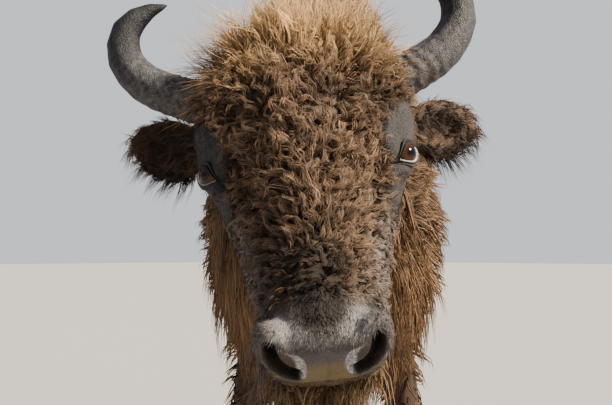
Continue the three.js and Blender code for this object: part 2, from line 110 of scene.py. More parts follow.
MOUTH_NORMAL = np.array([0.0, 0.196, 0.981])


# ---------------------------------------------------------------- small helpers


def unit(vectors: Array) -> Array:
    """The same vectors with length 1."""
    return vectors / np.maximum(np.linalg.norm(vectors, axis=-1, keepdims=True), 1e-12)


def ramp(values: Array, start: float, end: float) -> Array:
    """0 at `start`, 1 at `end`, smooth between and flat beyond; `start` may be the larger."""
    t = np.clip((values - start) / (end - start), 0.0, 1.0)
    return t * t * (3.0 - 2.0 * t)


def near(values: Array, centre: float, reach: float) -> Array:
    """A bell that is 1 at `centre` and falls off over `reach`."""
    return np.exp(-(((values - centre) / reach) ** 2))


def mix(first: Array, second: Array | float, share: Array) -> Array:
    """`first` turned into `second` by `share`, row by row."""
    if np.ndim(first) > np.ndim(share):
        share = share[:, None]
    return first * (1.0 - share) + second * share


def layered(base: Array, *layers: tuple[Array | float, Array]) -> Array:
    """`base` with each layer's value mixed in by its share, in order; shares are held to 0 to 1."""
    for value, share in layers:
        base = mix(base, value, np.clip(share, 0, 1))
    return base


def waves(points: Array, scale: float, seed: int, count: int = 14) -> Array:
    """Smooth noise of about -2 to 2, whose swells are about `scale` metres long.

    Args:
        points: (N, 3) places.
        scale: the mean wavelength.
        seed: picks the pattern.
        count: how many plane waves are summed.

    Returns:
        One value for each point.
    """
    rng = np.random.default_rng(seed)
    turns = unit(rng.normal(size=(count, 3))) * rng.uniform(0.6, 1.5, size=(count, 1))
    phases = rng.uniform(0.0, 2.0 * math.pi, count)
    return np.sin(points @ turns.T * (2.0 * math.pi / scale) + phases).sum(1) / math.sqrt(count / 2.0)


def segment_place(points: Array, path: Array) -> tuple[Array, Array]:
    """Where each point lies along a path of straight stretches.

    Args:
        points: (N, 3) places.
        path: (M, 3) corners of the path.

    Returns:
        The share of the path's length at the nearest place on it, and the distance to that place.
    """
    stretches = np.diff(path, axis=0)
    lengths = np.linalg.norm(stretches, axis=1)
    starts = np.concatenate([[0.0], np.cumsum(lengths)])
    best = np.full(len(points), np.inf)
    share = np.zeros(len(points))
    for corner, stretch, length, start in zip(path, stretches, lengths, starts):
        t = np.clip((points - corner) @ stretch / length**2, 0.0, 1.0)
        gap = np.linalg.norm(points - corner - t[:, None] * stretch, axis=1)
        closer = gap < best
        best = np.where(closer, gap, best)
        share = np.where(closer, (start + t * length) / starts[-1], share)
    return share, best


# ---------------------------------------------------------------- the head's frame


@dataclass
class HeadFrame:
    """Turns places between the model's frame and the head's own frame."""

    turn: Array = field(init=False)
    origin: Array = field(init=False)

    def __post_init__(self) -> None:
        """Reads the head's place from the two eyes."""
        spin = Matrix.Rotation(-HEAD_YAW, 3, "Z") @ Matrix.Rotation(-HEAD_ROLL, 3, "Y")
        self.turn = np.array(spin @ Matrix.Rotation(FACE_PITCH, 3, "X"))
        corners = [np.array(c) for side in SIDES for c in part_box(f"eye_{side}")]
        middle = sum(corners) / len(corners)
        self.origin = middle - self.turn @ (EYE_CENTRE * [0, 1, 1])

    def to_head(self, points: Array) -> Array:
        """Places of the model's frame, in the head's own."""
        return (points - self.origin) @ self.turn

    def to_model(self, points: Array) -> Array:
        """Places of the head's frame, in the model's."""
        return points @ self.turn.T + self.origin

    def direction(self, vectors: Array) -> Array:
        """Directions of the head's frame, in the model's."""
        return vectors @ self.turn.T


HEAD = HeadFrame()


def mirrored(vector: Array, side: str) -> Array:
    """A left-side vector of the head's frame, on the side that is asked for."""
    return vector * [SIDES[side], 1, 1]


def ear_axis(side: str) -> Array:
    """The direction from an ear's root to its tip, in the head's frame."""
    level = unit(np.array([1.0, 0, 0]) - EAR_FACING * EAR_FACING[0])
    upright = np.cross(EAR_FACING, level)
    return mirrored(level * math.cos(EAR_LIFT[side]) + upright * math.sin(EAR_LIFT[side]), side)


# ---------------------------------------------------------------- places on the surface and their fields


@dataclass
class Places:
    """Places on the skin, with what the markings and the coat need to know of each."""

    model: Array  # in the model's frame
    normal: Array
    depth: Array  # how deep the coat is here
    head: Array = field(init=False)  # in the head's frame
    on_head: Array = field(init=False)  # shares from 0 to 1, like all that are called on_...
    on_ear: Array = field(init=False)
    ear_share: Array = field(init=False)  # how far along the ear, from its root to its tip

    def __post_init__(self) -> None:
        """Works out the places in the head's frame, and the shares of the head and the ears."""
        self.head = HEAD.to_head(self.model)
        ahead = (self.model - HEAD.origin) @ NAPE_FACING
        self.on_head = ramp(ahead, -0.215, -0.155) * ramp(self.back, -0.78, -0.86)
        self.on_ear = np.zeros(len(self.model))
        self.ear_share = np.zeros(len(self.model))
        for side in SIDES:
            axis = ear_axis(side)
            offset = self.head - mirrored(EAR_ROOT, side)
            along = offset @ axis
            off = np.linalg.norm(offset - along[:, None] * axis, axis=1)
            here = ramp(along, 0.004, 0.022) * (off < EAR_REACH) * self.on_head
            share = np.clip(along / EAR_LENGTH, 0, 1) * (off < EAR_REACH + EAR_FRINGE)
            self.on_ear = np.maximum(self.on_ear, here)
            self.ear_share = np.maximum(self.ear_share, share)

    @property
    def x(self) -> Array:
        """How far to either side, in the head's frame."""
        return np.abs(self.head[:, 0])

    @property
    def y(self) -> Array:
        """How far behind the eyes, in the head's frame."""
        return self.head[:, 1]

    @property
    def z(self) -> Array:
        """How far out of the face, in the head's frame."""
        return self.head[:, 2]

    @property
    def back(self) -> Array:
        """How far behind the model's middle."""
        return self.model[:, 1]

    @property
    def up(self) -> Array:
        """How high above the floor."""
        return self.model[:, 2]

    @property
    def down_facing(self) -> Array:
        """How far the surface faces down, from -1 to 1."""
        return -self.normal[:, 2]

    @property
    def frontal(self) -> Array:
        """How far to the front of the edge between the face's front and its sides."""
        return self.z + 0.25 * self.y - 0.35 * (self.x - 0.07)

    def from_eye(self) -> Array:
        """Distance to the nearer eye's centre."""
        gaps = [np.linalg.norm(self.head - mirrored(EYE_CENTRE, side), axis=1) for side in SIDES]
        return np.minimum(*gaps)

    def from_whorl(self) -> Array:
        """Offsets from the whorl on the nose, in the head's frame."""
        return self.head - WHORL

    def head_without_ears(self) -> Array:
        """The head, up to the ears' roots."""
        return self.on_head * (1 - self.on_ear)

    def on_face(self) -> Array:
        """The front of the face: forehead and nose, between the eyes and the crown."""
        return ramp(self.frontal, -0.055, 0.0) * self.head_without_ears()

    def beside_bridge(self) -> Array:
        """The darker, shorter hair down each side of the nose's bridge."""
        band = ramp(self.frontal, -0.125, -0.080) * (1 - ramp(self.frontal, -0.055, -0.010))
        below_eyes = ramp(self.y, -0.02, -0.07)
        return band * below_eyes * self.head_without_ears()

    def on_crown(self) -> Array:
        """The top of the head, between and behind the horns."""
        above_brow = ramp(self.z + 0.85 * self.y, 0.120, 0.205)
        over_ears = ramp(self.z, -0.09, 0.0)
        return above_brow * over_ears * self.head_without_ears()

    def round_eye(self) -> Array:
        """The short-haired patch round an eye, with the patch that its tears keep bare."""
        lid = off_ellipsoid(self, (0.137, 0.020, 0.006), (0.050, 0.066, 0.056))
        tear = off_ellipsoid(self, (0.116, -0.040, -0.026), (0.028, 0.056, 0.034))
        return np.maximum(ramp(lid, 1.15, 0.85), ramp(tear, 1.15, 0.7)) * self.head_without_ears()

    def on_muzzle(self) -> Array:
        """The short-haired end of the face, from the whorl to the lips."""
        before_whorl = ramp(self.y + 0.12 * self.z, -0.238, -0.276)
        over_mouth = ramp(self.z, -0.072, -0.052)
        return before_whorl * over_mouth * self.on_head

    def bare_nose(self) -> Array:
        """The moist bare skin between and round the nostrils."""
        top = 0.0115 + 0.006 * ramp(self.x, 0.022, 0.048)
        beside_foot = ramp(self.z, -0.034, -0.042) * ramp(self.x, 0.026, 0.034)
        across = ramp(self.x, 0.059, 0.050) * (1 - beside_foot)
        upright = ramp(self.z, top + 0.002, top - 0.005) * ramp(self.z, -0.054, -0.046)
        return across * upright * ramp(self.y, -0.270, -0.285)

    def on_jaw(self) -> Array:
        """Under the mouth: lips, chin and throat."""
        return ramp((self.head - MOUTH_FRONT) @ MOUTH_NORMAL, 0.004, -0.004) * self.on_head

    def on_leg(self) -> Array:
        """The free part of the legs."""
        return ramp(self.up, 0.80, 0.62) * (1 - self.on_head) * (1 - self.on_tail())

    def on_tail(self) -> Array:
        """The tail, from its root down."""
        near_middle = ramp(np.abs(self.model[:, 0]), 0.075, 0.055)
        return ramp(self.back, 1.222, 1.24) * ramp(self.up, 1.36, 1.28) * near_middle

    def on_beard(self) -> Array:
        """The long hair under the jaw and throat."""
        low = ramp(self.up, 1.02, 0.93) * ramp(self.back, -0.80, -0.86)
        chin = ramp(self.y, -0.24, -0.275) * ramp(self.z, -0.10, -0.08)
        return low * (1 - chin)


def off_ellipsoid(at: Places, centre: Sequence[float], reach: Sequence[float]) -> Array:
    """How far out of an ellipsoid beside the face each place is, 1 at its surface.

    Args:
        at: the places.
        centre: x, y and z in the head's frame, for both sides.
        reach: the half axes along x, y and z.

    Returns:
        One value for each place.
    """
    offset = np.stack([at.x, at.y, at.z], axis=1) - centre
    return np.linalg.norm(offset / reach, axis=1)


# ---------------------------------------------------------------- markings


class Shade(Enum):
    """Colours of the animal and the floor, as linear red, green and blue."""

    FLANK = (0.126, 0.076, 0.042)
    HUMP = (0.185, 0.117, 0.063)
    RUMP = (0.115, 0.062, 0.032)
    CHEST = (0.085, 0.046, 0.024)
    LEG = (0.034, 0.021, 0.014)
    FOREHEAD = (0.110, 0.071, 0.046)
    CROWN = (0.470, 0.305, 0.150)
    CHEEK = (0.128, 0.079, 0.043)
    # the greyish short hair beside the bridge, painted lighter and greyer as a sheen
    SIDE_FACE_AND_SHEEN = (0.100, 0.082, 0.072)
    WHORL = (0.026, 0.017, 0.012)
    SLATE = (0.027, 0.0255, 0.027)
    MUZZLE_TOP = (0.060, 0.055, 0.057)
    MUZZLE_PATCH = (0.010, 0.007, 0.006)
    LIP = (0.105, 0.066, 0.034)
    EAR = (0.024, 0.015, 0.011)
    EAR_EDGE = (0.140, 0.070, 0.032)
    BEARD = (0.074, 0.045, 0.026)
    GREY_RIM = (0.150, 0.146, 0.149)
    PAD_TOP = (0.056, 0.050, 0.053)
    PAD_FOOT = (0.112, 0.082, 0.038)
    # near-black painted shade in the nostrils' depths and a painted shadow under their edges
    NOSTRIL_SHADE = (0.008, 0.006, 0.005)
    NOSTRIL_WALL = (0.046, 0.034, 0.030)
    # a pale bluish painted reflection on the nostrils' moist floor
    NOSTRIL_FLOOR = (0.330, 0.330, 0.345)
    # the dark lids, also laid as painted shade in the creases of their folds
    LID_AND_CREASE_SHADE = (0.012, 0.010, 0.009)
    # a pale painted reflection on the lower lid's moist edge
    WET_RIM = (0.520, 0.500, 0.500)
    TEAR = (0.014, 0.012, 0.011)
    TAIL_TUFT = (0.030, 0.020, 0.014)
    IRIS = (0.036, 0.0125, 0.004)
    IRIS_RIM = (0.010, 0.006, 0.005)
    EYE_WHITE = (0.070, 0.055, 0.050)
    PUPIL = (0.003, 0.003, 0.004)
    HORN = (0.044, 0.044, 0.049)
    HORN_SCURF = (0.115, 0.088, 0.060)
    HORN_TIP = (0.008, 0.009, 0.012)
    HORN_CRACK = (0.022, 0.018, 0.015)
    CLAW = (0.030, 0.026, 0.023)
    CLAW_EDGE = (0.075, 0.063, 0.052)
    FLOOR = (0.30, 0.295, 0.29)

    @property
    def rgb(self) -> Array:
        """The colour as an array."""
        return np.array(self.value)


def whorl_patch(at: Places) -> Array:
    """The near-black hair of the whorl, above the muzzle."""
    return 1.5 * near(at.x, 0, 0.050) * near(at.y, WHORL[1] + 0.008, 0.034) * at.on_face()


def muzzle_patch(at: Places) -> Array:
    """The dark patch on the top of the muzzle, between the nostrils and the whorl."""
    return ramp(at.x, 0.036, 0.017) * ramp(at.z, 0.020, 0.027) * ramp(at.y, -0.243, -0.256)


def pale_band(at: Places) -> Array:
    """The pale band of hair over the nostrils and the nose pad."""
    height = 0.0155 + 0.0055 * ramp(at.x, 0.004, 0.036)
    band = near(at.z, height, 0.0062) * ramp(at.y, -0.268, -0.282) * ramp(at.x, 0.058, 0.044)
    return band * at.on_head * (0.65 + 0.35 * ramp(at.x, 0.008, 0.022))


def nose_pad(at: Places) -> Array:
    """The bare pad of the nose."""
    return at.bare_nose() * at.on_head


def ear_edge(at: Places) -> Array:
    """The redder hair at the ears' tips and upper edges."""
    tip = ramp(at.ear_share, 0.6, 1.0)
    upper = ramp(-at.down_facing, 0.1, 0.8)
    return at.on_ear * np.maximum(tip, upper) * 0.45


def markings(at: Places) -> Array:
    """The colour of the coat and the skin at each place.

    Args:
        at: places on the skin or at the roots of the hair.

    Returns:
        (N, 3) linear colours.
    """
    colour = layered(
        np.tile(Shade.FLANK.rgb, (len(at.model), 1)),
        (Shade.HUMP.rgb, ramp(at.up, 1.25, 1.62) * ramp(at.back, 0.25, -0.25)),
        (Shade.RUMP.rgb, ramp(at.back, 0.45, 0.95) * 0.7),
        (Shade.CHEST.rgb, ramp(at.up, 1.05, 0.80) * ramp(at.back, 0.0, -0.4)),
        (Shade.LEG.rgb, ramp(at.up, 0.78, 0.50)),
        (Shade.TAIL_TUFT.rgb, at.on_tail() * ramp(at.up, 0.95, 0.80)),
        (Shade.CHEEK.rgb, at.on_head),
        (Shade.BEARD.rgb, at.on_beard() * 0.8),
        (Shade.FOREHEAD.rgb, at.on_face()),
        (Shade.CROWN.rgb, at.on_crown()),
        # the short hair beside the bridge, with a painted sheen
        (Shade.SIDE_FACE_AND_SHEEN.rgb, at.beside_bridge()),
        (Shade.MUZZLE_TOP.rgb, at.on_muzzle() * 0.9),
        (Shade.WHORL.rgb, whorl_patch(at)),
        (Shade.MUZZLE_PATCH.rgb, muzzle_patch(at)),
        (Shade.GREY_RIM.rgb, pale_band(at)),
        (Shade.LIP.rgb, at.on_jaw() * ramp(at.y, -0.22, -0.26)),
        (Shade.SLATE.rgb, at.round_eye()),
        (Shade.PAD_TOP.rgb, nose_pad(at)),
        (Shade.PAD_FOOT.rgb, nose_pad(at) * ramp(at.z, -0.004, -0.026)),
        (Shade.EAR.rgb, at.on_ear),
        (Shade.EAR_EDGE.rgb, ear_edge(at)),
    )
    broad = 0.10 * waves(at.model, 0.22, 11) + 0.06 * waves(at.model, 0.05, 12)
    tufted = 0.16 * waves(at.model, 0.020, 13) * at.on_face() * (1 - at.round_eye())
    return colour * np.clip(1.0 + broad + tufted, 0.5, 1.6)[:, None]


def coat_depth(at: Places) -> Array:
    """How far the skin lies inside the coat's tips, in metres.

    Args:
        at: places on the coat's outer form.

    Returns:
        One depth for each place.
    """
    shoulder = ramp(at.back, 0.15, -0.35)
    chest = ramp(at.up, 1.0, 0.75) * ramp(at.back, 0.0, -0.4)
    thigh = ramp(at.up, 0.3, 0.6)
    trunk = layered(
        0.014 + 0.020 * shoulder + 0.020 * chest,
        (0.007 + 0.006 * thigh, at.on_leg()),
        (0.006, at.on_tail() * ramp(at.up, 0.87, 0.90)),
        (0.014, at.on_tail() * ramp(at.up, 0.87, 0.80)),
    )
    head = layered(
        np.full(len(at.model), 0.016),
        (0.020, at.on_face()),
        (0.008, at.on_face() * ramp(at.y, -0.14, -0.22)),
        (0.007, at.beside_bridge()),
        (0.058, at.on_crown()),
        (0.026, at.on_beard()),
        (0.0022, ramp(at.y, -0.240, -0.268) * ramp(at.z, -0.080, -0.062)),
        (0.0020, at.round_eye()),
        (0.0045, at.on_ear),
    )
    return mix(trunk, head, at.on_head)


def flow_of_coat(at: Places) -> Array:
    """Coordinates in which the short hair's streaks run straight: they change little along the lie."""

    def from_centre(centre: Array, spread: float) -> Array:
        """Coordinates whose streaks run outwards from a centre on the head."""
        offset = at.head - centre
        reach = np.linalg.norm(offset, axis=1, keepdims=True)
        return unit(offset) * spread + reach * [0.30, 0.26, 0.28]

    left = at.head[:, 0] > 0
    return layered(
        at.model * [1.0, 0.22, 0.45],
        (at.model * [1.0, 1.0, 0.16], np.maximum(at.on_leg(), at.on_tail())),
        (from_centre(WHORL, 0.10), at.on_face() + at.on_muzzle() + at.beside_bridge()),
        (from_centre(mirrored(EYE_CENTRE, "left"), 0.045), at.round_eye() * left),
        (from_centre(mirrored(EYE_CENTRE, "right"), 0.045), at.round_eye() * ~left),
    )


class Lie(Enum):
    """Which way the coat of the body lies, in the model's frame."""

    FLANK = (0.0, 1.0, -0.55)
    BACK = (0.0, 1.0, 0.05)
    RUMP = (0.0, 0.45, -1.0)
    CHEST = (0.0, 0.35, -1.0)
    LEG = (0.0, 0.12, -1.0)
    BEARD = (0.0, 0.10, -1.0)

    @property
    def way(self) -> Array:
        """The direction as an array."""
        return np.array(self.value)


def face_lie(at: Places) -> Array:
    """Away from the whorl on the nose, and round it where it is close; in the head's frame."""
    offset = at.from_whorl()
    around = np.stack([-offset[:, 1], offset[:, 0], np.zeros(len(offset))], axis=1)
    turning = 1.6 * near(np.linalg.norm(offset[:, :2], axis=1), 0, 0.034)
    outwards = unit(offset * [1.25, 1, 1])
    return unit(outwards + unit(around) * turning[:, None])


def eye_lie(at: Places, side: Array) -> Array:
    """Away from the nearer eye, and down; in the head's frame."""
    away = [unit(at.head - mirrored(EYE_CENTRE, name)) for name in SIDES]
    return np.where(side > 0, away[0], away[1]) * [1, 1, 0.6] + [0, 0.25, -0.45]


def lie_of_coat(at: Places) -> Array:
    """Which way the hair lies, as a unit vector along the skin at each place."""
    side = np.sign(at.head[:, :1])
    brow = ramp(at.x, 0.040, 0.072) * ramp(at.y, -0.02, 0.02) * at.on_face()
    lie = layered(
        np.tile(Lie.FLANK.way, (len(at.model), 1)),
        (Lie.BACK.way, ramp(-at.down_facing, 0.55, 0.9) * (1 - at.on_head)),
        (Lie.RUMP.way, ramp(at.back, 0.75, 1.05)),
        (Lie.CHEST.way, ramp(at.up, 1.15, 0.80) * ramp(at.back, 0.1, -0.3)),
        (Lie.LEG.way, np.maximum(at.on_leg(), at.on_tail())),
        (side * [0.30, 0, 0] + [0, 0.35, -1.0], at.on_head),
        (HEAD.direction(face_lie(at)), at.on_face()),
        (HEAD.direction(side * [1.0, 0, 0] + [0, -0.35, -0.15]), brow),
        (at.head[:, :1] / 0.15 * [0.7, 0, 0] + [-0.16, 0.1, 1.0], at.on_crown()),
        (HEAD.direction(eye_lie(at, side)), at.round_eye()),
    )
    for name, sign in SIDES.items():
        hanging = HEAD.direction(ear_axis(name)) + [0, 0, -0.35]
        lie = mix(lie, hanging, at.on_ear * (at.head[:, 0] * sign > 0))
    lie = mix(lie, Lie.BEARD.way, at.on_beard())
    outwards = (lie * at.normal).sum(1, keepdims=True) * at.normal
    return unit(lie - outwards)


# ---------------------------------------------------------------- mesh work


def link(obj: bpy.types.Object) -> bpy.types.Object:
    """Puts an object in the scene."""
    bpy.context.scene.collection.objects.link(obj)
    return obj


def joined_copy(names: Sequence[str], merge: float = 1e-5) -> bpy.types.Mesh:
    """One mesh of copies of CAD nodes, each made one closed surface."""
    bm = bmesh.new()
    for name in names:
        bm.from_mesh(NODES[name].data)
    bmesh.ops.remove_doubles(bm, verts=bm.verts[:], dist=merge)
    mesh = bpy.data.meshes.new("joined")
    bm.to_mesh(mesh)
    bm.free()
    return mesh


def work_object(mesh: bpy.types.Mesh) -> bpy.types.Object:
    """An object that holds a mesh while modifiers work on it."""
    return link(bpy.data.objects.new("work", mesh))


def applied(obj: bpy.types.Object, *steps: tuple[str, dict[str, object]]) -> bpy.types.Mesh:
    """The mesh that is left after modifiers.

    Args:
        obj: the working object that the modifiers start from, which is removed.
        steps: each modifier's type and its settings.

    Returns:
        A new mesh.
    """
    for kind, settings in steps:
        modifier = obj.modifiers.new(kind.lower(), kind)
        for name, value in settings.items():
            setattr(modifier, name, value)
    graph = bpy.context.evaluated_depsgraph_get()
    result = bpy.data.meshes.new_from_object(obj.evaluated_get(graph))
    bpy.data.objects.remove(obj)
    return result


def remeshed(names: Sequence[str], grain: float, rounds: int) -> bpy.types.Mesh:
    """Copies of CAD nodes as one evenly sampled mesh, softened a little.

    Args:
        names: the nodes.
        grain: the size of the samples.
        rounds: how often the softening is done.

    Returns:
        A new mesh.
    """
    return applied(
        work_object(joined_copy(names)),
        ("REMESH", {"mode": "VOXEL", "voxel_size": grain}),
        ("SMOOTH", {"factor": 0.5, "iterations": rounds}),
    )


def corner_places(mesh: bpy.types.Mesh) -> Array:
    """(N, 3) places of a mesh's vertices."""
    values = np.empty(len(mesh.vertices) * 3, np.float32)
    mesh.vertices.foreach_get("co", values)
    return values.reshape(-1, 3).astype(float)


def corner_normals(mesh: bpy.types.Mesh) -> Array:
    """(N, 3) normals of a mesh's vertices."""
    values = np.empty(len(mesh.vertices) * 3, np.float32)
    mesh.vertex_normals.foreach_get("vector", values)
    return values.reshape(-1, 3).astype(float)


def places_of(mesh: bpy.types.Mesh) -> Places:
    """A mesh's vertices as places, with no coat yet."""
    model = corner_places(mesh)
    return Places(model, corner_normals(mesh), np.zeros(len(model)))


def move_corners(mesh: bpy.types.Mesh, places: Array) -> None:
    """Puts a mesh's vertices at new places."""
    mesh.vertices.foreach_set("co", places.astype(np.float32).ravel())
    mesh.update()


def paint(mesh: bpy.types.Mesh, name: str, colours: Array) -> None:
    """Stores one colour for each vertex."""
    values = np.ones((len(colours), 4), np.float32)
    values[:, :3] = colours
    layer = mesh.color_attributes.new(name, "FLOAT_COLOR", "POINT")
    layer.data.foreach_set("color", values.ravel())


def note(mesh: bpy.types.Mesh, name: str, values: Array) -> None:
    """Stores one number for each vertex."""
    layer = mesh.attributes.new(name, "FLOAT", "POINT")
    layer.data.foreach_set("value", values.astype(np.float32))


def note_vector(mesh: bpy.types.Mesh, name: str, vectors: Array) -> None:
    """Stores one vector for each vertex."""
    layer = mesh.attributes.new(name, "FLOAT_VECTOR", "POINT")
    layer.data.foreach_set("vector", vectors.astype(np.float32).ravel())


def evened(places: Array, edges: Array, share: Array, rounds: int) -> Array:
    """Places drawn towards the mean of their neighbours.

    Args:
        places: (N, 3) vertices.
        edges: (M, 2) pairs of vertices.
        share: how far each vertex may move, from 0 to 1.
        rounds: how often it is done.

    Returns:
        The new places.
    """
    count = np.bincount(edges.ravel(), minlength=len(places)).astype(float)
    for _ in range(rounds):
        total = np.stack(
            [
                np.bincount(edges[:, 0], places[edges[:, 1], k], len(places))
                + np.bincount(edges[:, 1], places[edges[:, 0], k], len(places))
                for k in range(3)
            ],
            axis=1,
        )
        places = mix(places, total / np.maximum(count, 1)[:, None], share)
    return places


def edge_pairs(mesh: bpy.types.Mesh) -> Array:
    """(M, 2) vertex pairs of a mesh's edges."""
    values = np.empty(len(mesh.edges) * 2, np.int32)
    mesh.edges.foreach_get("vertices", values)
    return values.reshape(-1, 2)


def finish_piece(obj: bpy.types.Object, material: bpy.types.Material) -> bpy.types.Object:
    """Gives a piece its material and the body that it rides on."""
    obj.data.materials.clear()
    obj.data.materials.append(material)
    obj.data.polygons.foreach_set("use_smooth", np.ones(len(obj.data.polygons), bool))
    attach(obj, "root")
    LOG.info("%s: %d faces", obj.name, len(obj.data.polygons))
    return obj


# ---------------------------------------------------------------- finishes


class Nodes:
    """A material's or a group's node tree, with short ways to add to it."""

    def __init__(self, tree: bpy.types.NodeTree) -> None:
        """Starts from an empty tree."""
        self.tree = tree
        tree.nodes.clear()

    def add(self, kind: str, **settings: object) -> bpy.types.Node:
        """Adds a node and sets its properties."""
        node = self.tree.nodes.new(kind)
        for name, value in settings.items():
            setattr(node, name, value)
        return node

    def join(self, source: bpy.types.NodeSocket, target: bpy.types.NodeSocket) -> None:
        """Links an output to an input."""
        self.tree.links.new(source, target)

    def maths(self, operation: str, first: object, second: object = 0.0) -> bpy.types.NodeSocket:
        """A sum or product of two sockets or numbers."""
        node = self.add("ShaderNodeMath", operation=operation)
        for socket, value in zip(node.inputs, (first, second)):
            if isinstance(value, bpy.types.NodeSocket):
                self.join(value, socket)
            else:
                socket.default_value = value
        return node.outputs[0]

    def attribute(self, name: str) -> bpy.types.Node:
        """A node that reads what is stored on the mesh."""
        return self.add("ShaderNodeAttribute", attribute_name=name)

    def noise(self, vector: bpy.types.NodeSocket, scale: float, detail: float = 4.0) -> bpy.types.NodeSocket:
        """A noise value on a vector."""
        node = self.add("ShaderNodeTexNoise")
        self.join(vector, node.inputs["Vector"])
        node.inputs["Scale"].default_value = scale
        node.inputs["Detail"].default_value = detail
        return node.outputs["Fac"]

    def tinted(self, colour: bpy.types.NodeSocket, factor: bpy.types.NodeSocket) -> bpy.types.NodeSocket:
        """A colour made lighter or darker by a factor."""
        node = self.add("ShaderNodeVectorMath", operation="SCALE")
        self.join(colour, node.inputs[0])
        self.join(factor, node.inputs["Scale"])
        return node.outputs[0]


def mottle_group() -> bpy.types.NodeTree:
    """A group that darkens and lightens a colour in patches and specks, and gives the same as a height."""
    name = "Mottle"
    if name in bpy.data.node_groups:
        return bpy.data.node_groups[name]
    tree = bpy.data.node_groups.new(name, "ShaderNodeTree")
    for label, kind, default in (
        ("Colour", "NodeSocketColor", (0.5, 0.5, 0.5, 1.0)),
        ("Patch Scale", "NodeSocketFloat", 30.0),
        ("Speck Scale", "NodeSocketFloat", 400.0),
        ("Strength", "NodeSocketFloat", 0.3),
    ):
        socket = tree.interface.new_socket(label, in_out="INPUT", socket_type=kind)
        socket.default_value = default
    tree.interface.new_socket("Colour", in_out="OUTPUT", socket_type="NodeSocketColor")
    tree.interface.new_socket("Height", in_out="OUTPUT", socket_type="NodeSocketFloat")
    nodes = Nodes(tree)
    inputs = nodes.add("NodeGroupInput")
    outputs = nodes.add("NodeGroupOutput")
    place = nodes.add("ShaderNodeTexCoord").outputs["Object"]
    patches = nodes.add("ShaderNodeTexNoise")
    specks = nodes.add("ShaderNodeTexNoise")
    for texture, scale in ((patches, "Patch Scale"), (specks, "Speck Scale")):
        nodes.join(place, texture.inputs["Vector"])
        nodes.join(inputs.outputs[scale], texture.inputs["Scale"])
        texture.inputs["Detail"].default_value = 4.0
    both = nodes.maths("ADD", patches.outputs["Fac"], specks.outputs["Fac"])
    swing = nodes.maths("SUBTRACT", both, 1.0)
    change = nodes.maths("MULTIPLY", swing, inputs.outputs["Strength"])
    factor = nodes.maths("ADD", change, 1.0)
    nodes.join(nodes.tinted(inputs.outputs["Colour"], factor), outputs.inputs["Colour"])
    nodes.join(both, outputs.inputs["Height"])
    return tree


@dataclass(frozen=True)
class Finish:
    """A surface whose colour is painted on the mesh, mottled and slightly rough."""

    name: str
    roughness: float
    patch_scale: float
    speck_scale: float
    strength: float  # of the patches and specks
    bump: float
    bump_depth: float
    gloss: float = 0.5
    smoother_if_wet: float = 0.0
    streak_scale: float = 0.0
    streak_strength: float = 0.0

    def material(self) -> bpy.types.Material:
        """Builds the material, or returns it if it is there already."""
        if self.name in bpy.data.materials:
            return bpy.data.materials[self.name]
        made = bpy.data.materials.new(self.name)
        made.use_nodes = True
        nodes = Nodes(made.node_tree)
        output = nodes.add("ShaderNodeOutputMaterial")
        shader = nodes.add("ShaderNodeBsdfPrincipled")
        colour, height = self.mottled(nodes)
        if self.streak_scale:
            colour, height = self.streaked(nodes, colour, height)
        nodes.join(colour, shader.inputs["Base Color"])
        nodes.join(self.bumped(nodes, height), shader.inputs["Normal"])
        shader.inputs["Specular IOR Level"].default_value = self.gloss
        shader.inputs["Roughness"].default_value = self.roughness
        if self.smoother_if_wet:
            wet = nodes.attribute("Wet").outputs["Fac"]
            change = nodes.maths("MULTIPLY", wet, -self.smoother_if_wet)
            nodes.join(nodes.maths("ADD", change, self.roughness), shader.inputs["Roughness"])
        nodes.join(shader.outputs["BSDF"], output.inputs["Surface"])
        return made

    def mottled(self, nodes: Nodes) -> tuple[bpy.types.NodeSocket, bpy.types.NodeSocket]:
        """The painted colour in patches and specks, and their height."""
        mottle = nodes.add("ShaderNodeGroup")
        mottle.node_tree = mottle_group()
        nodes.join(nodes.attribute("Tone").outputs["Color"], mottle.inputs["Colour"])
        mottle.inputs["Patch Scale"].default_value = self.patch_scale
        mottle.inputs["Speck Scale"].default_value = self.speck_scale
        mottle.inputs["Strength"].default_value = self.strength
        return mottle.outputs["Colour"], mottle.outputs["Height"]

    def streaked(
        self, nodes: Nodes, colour: bpy.types.NodeSocket, height: bpy.types.NodeSocket
    ) -> tuple[bpy.types.NodeSocket, bpy.types.NodeSocket]:
        """The same colour and height with streaks along the hair's lie."""
        streaks = nodes.noise(nodes.attribute("Flow").outputs["Vector"], self.streak_scale)
        swing = nodes.maths("MULTIPLY", nodes.maths("SUBTRACT", streaks, 0.5), self.streak_strength)
        colour = nodes.tinted(colour, nodes.maths("ADD", swing, 1.0))
        return colour, nodes.maths("ADD", height, nodes.maths("MULTIPLY", streaks, 2.0))

    def bumped(self, nodes: Nodes, height: bpy.types.NodeSocket) -> bpy.types.NodeSocket:
        """The normal that a height gives."""
        bump = nodes.add("ShaderNodeBump")
        bump.inputs["Strength"].default_value = self.bump
        bump.inputs["Distance"].default_value = self.bump_depth
        nodes.join(height, bump.inputs["Height"])
        return bump.outputs["Normal"]


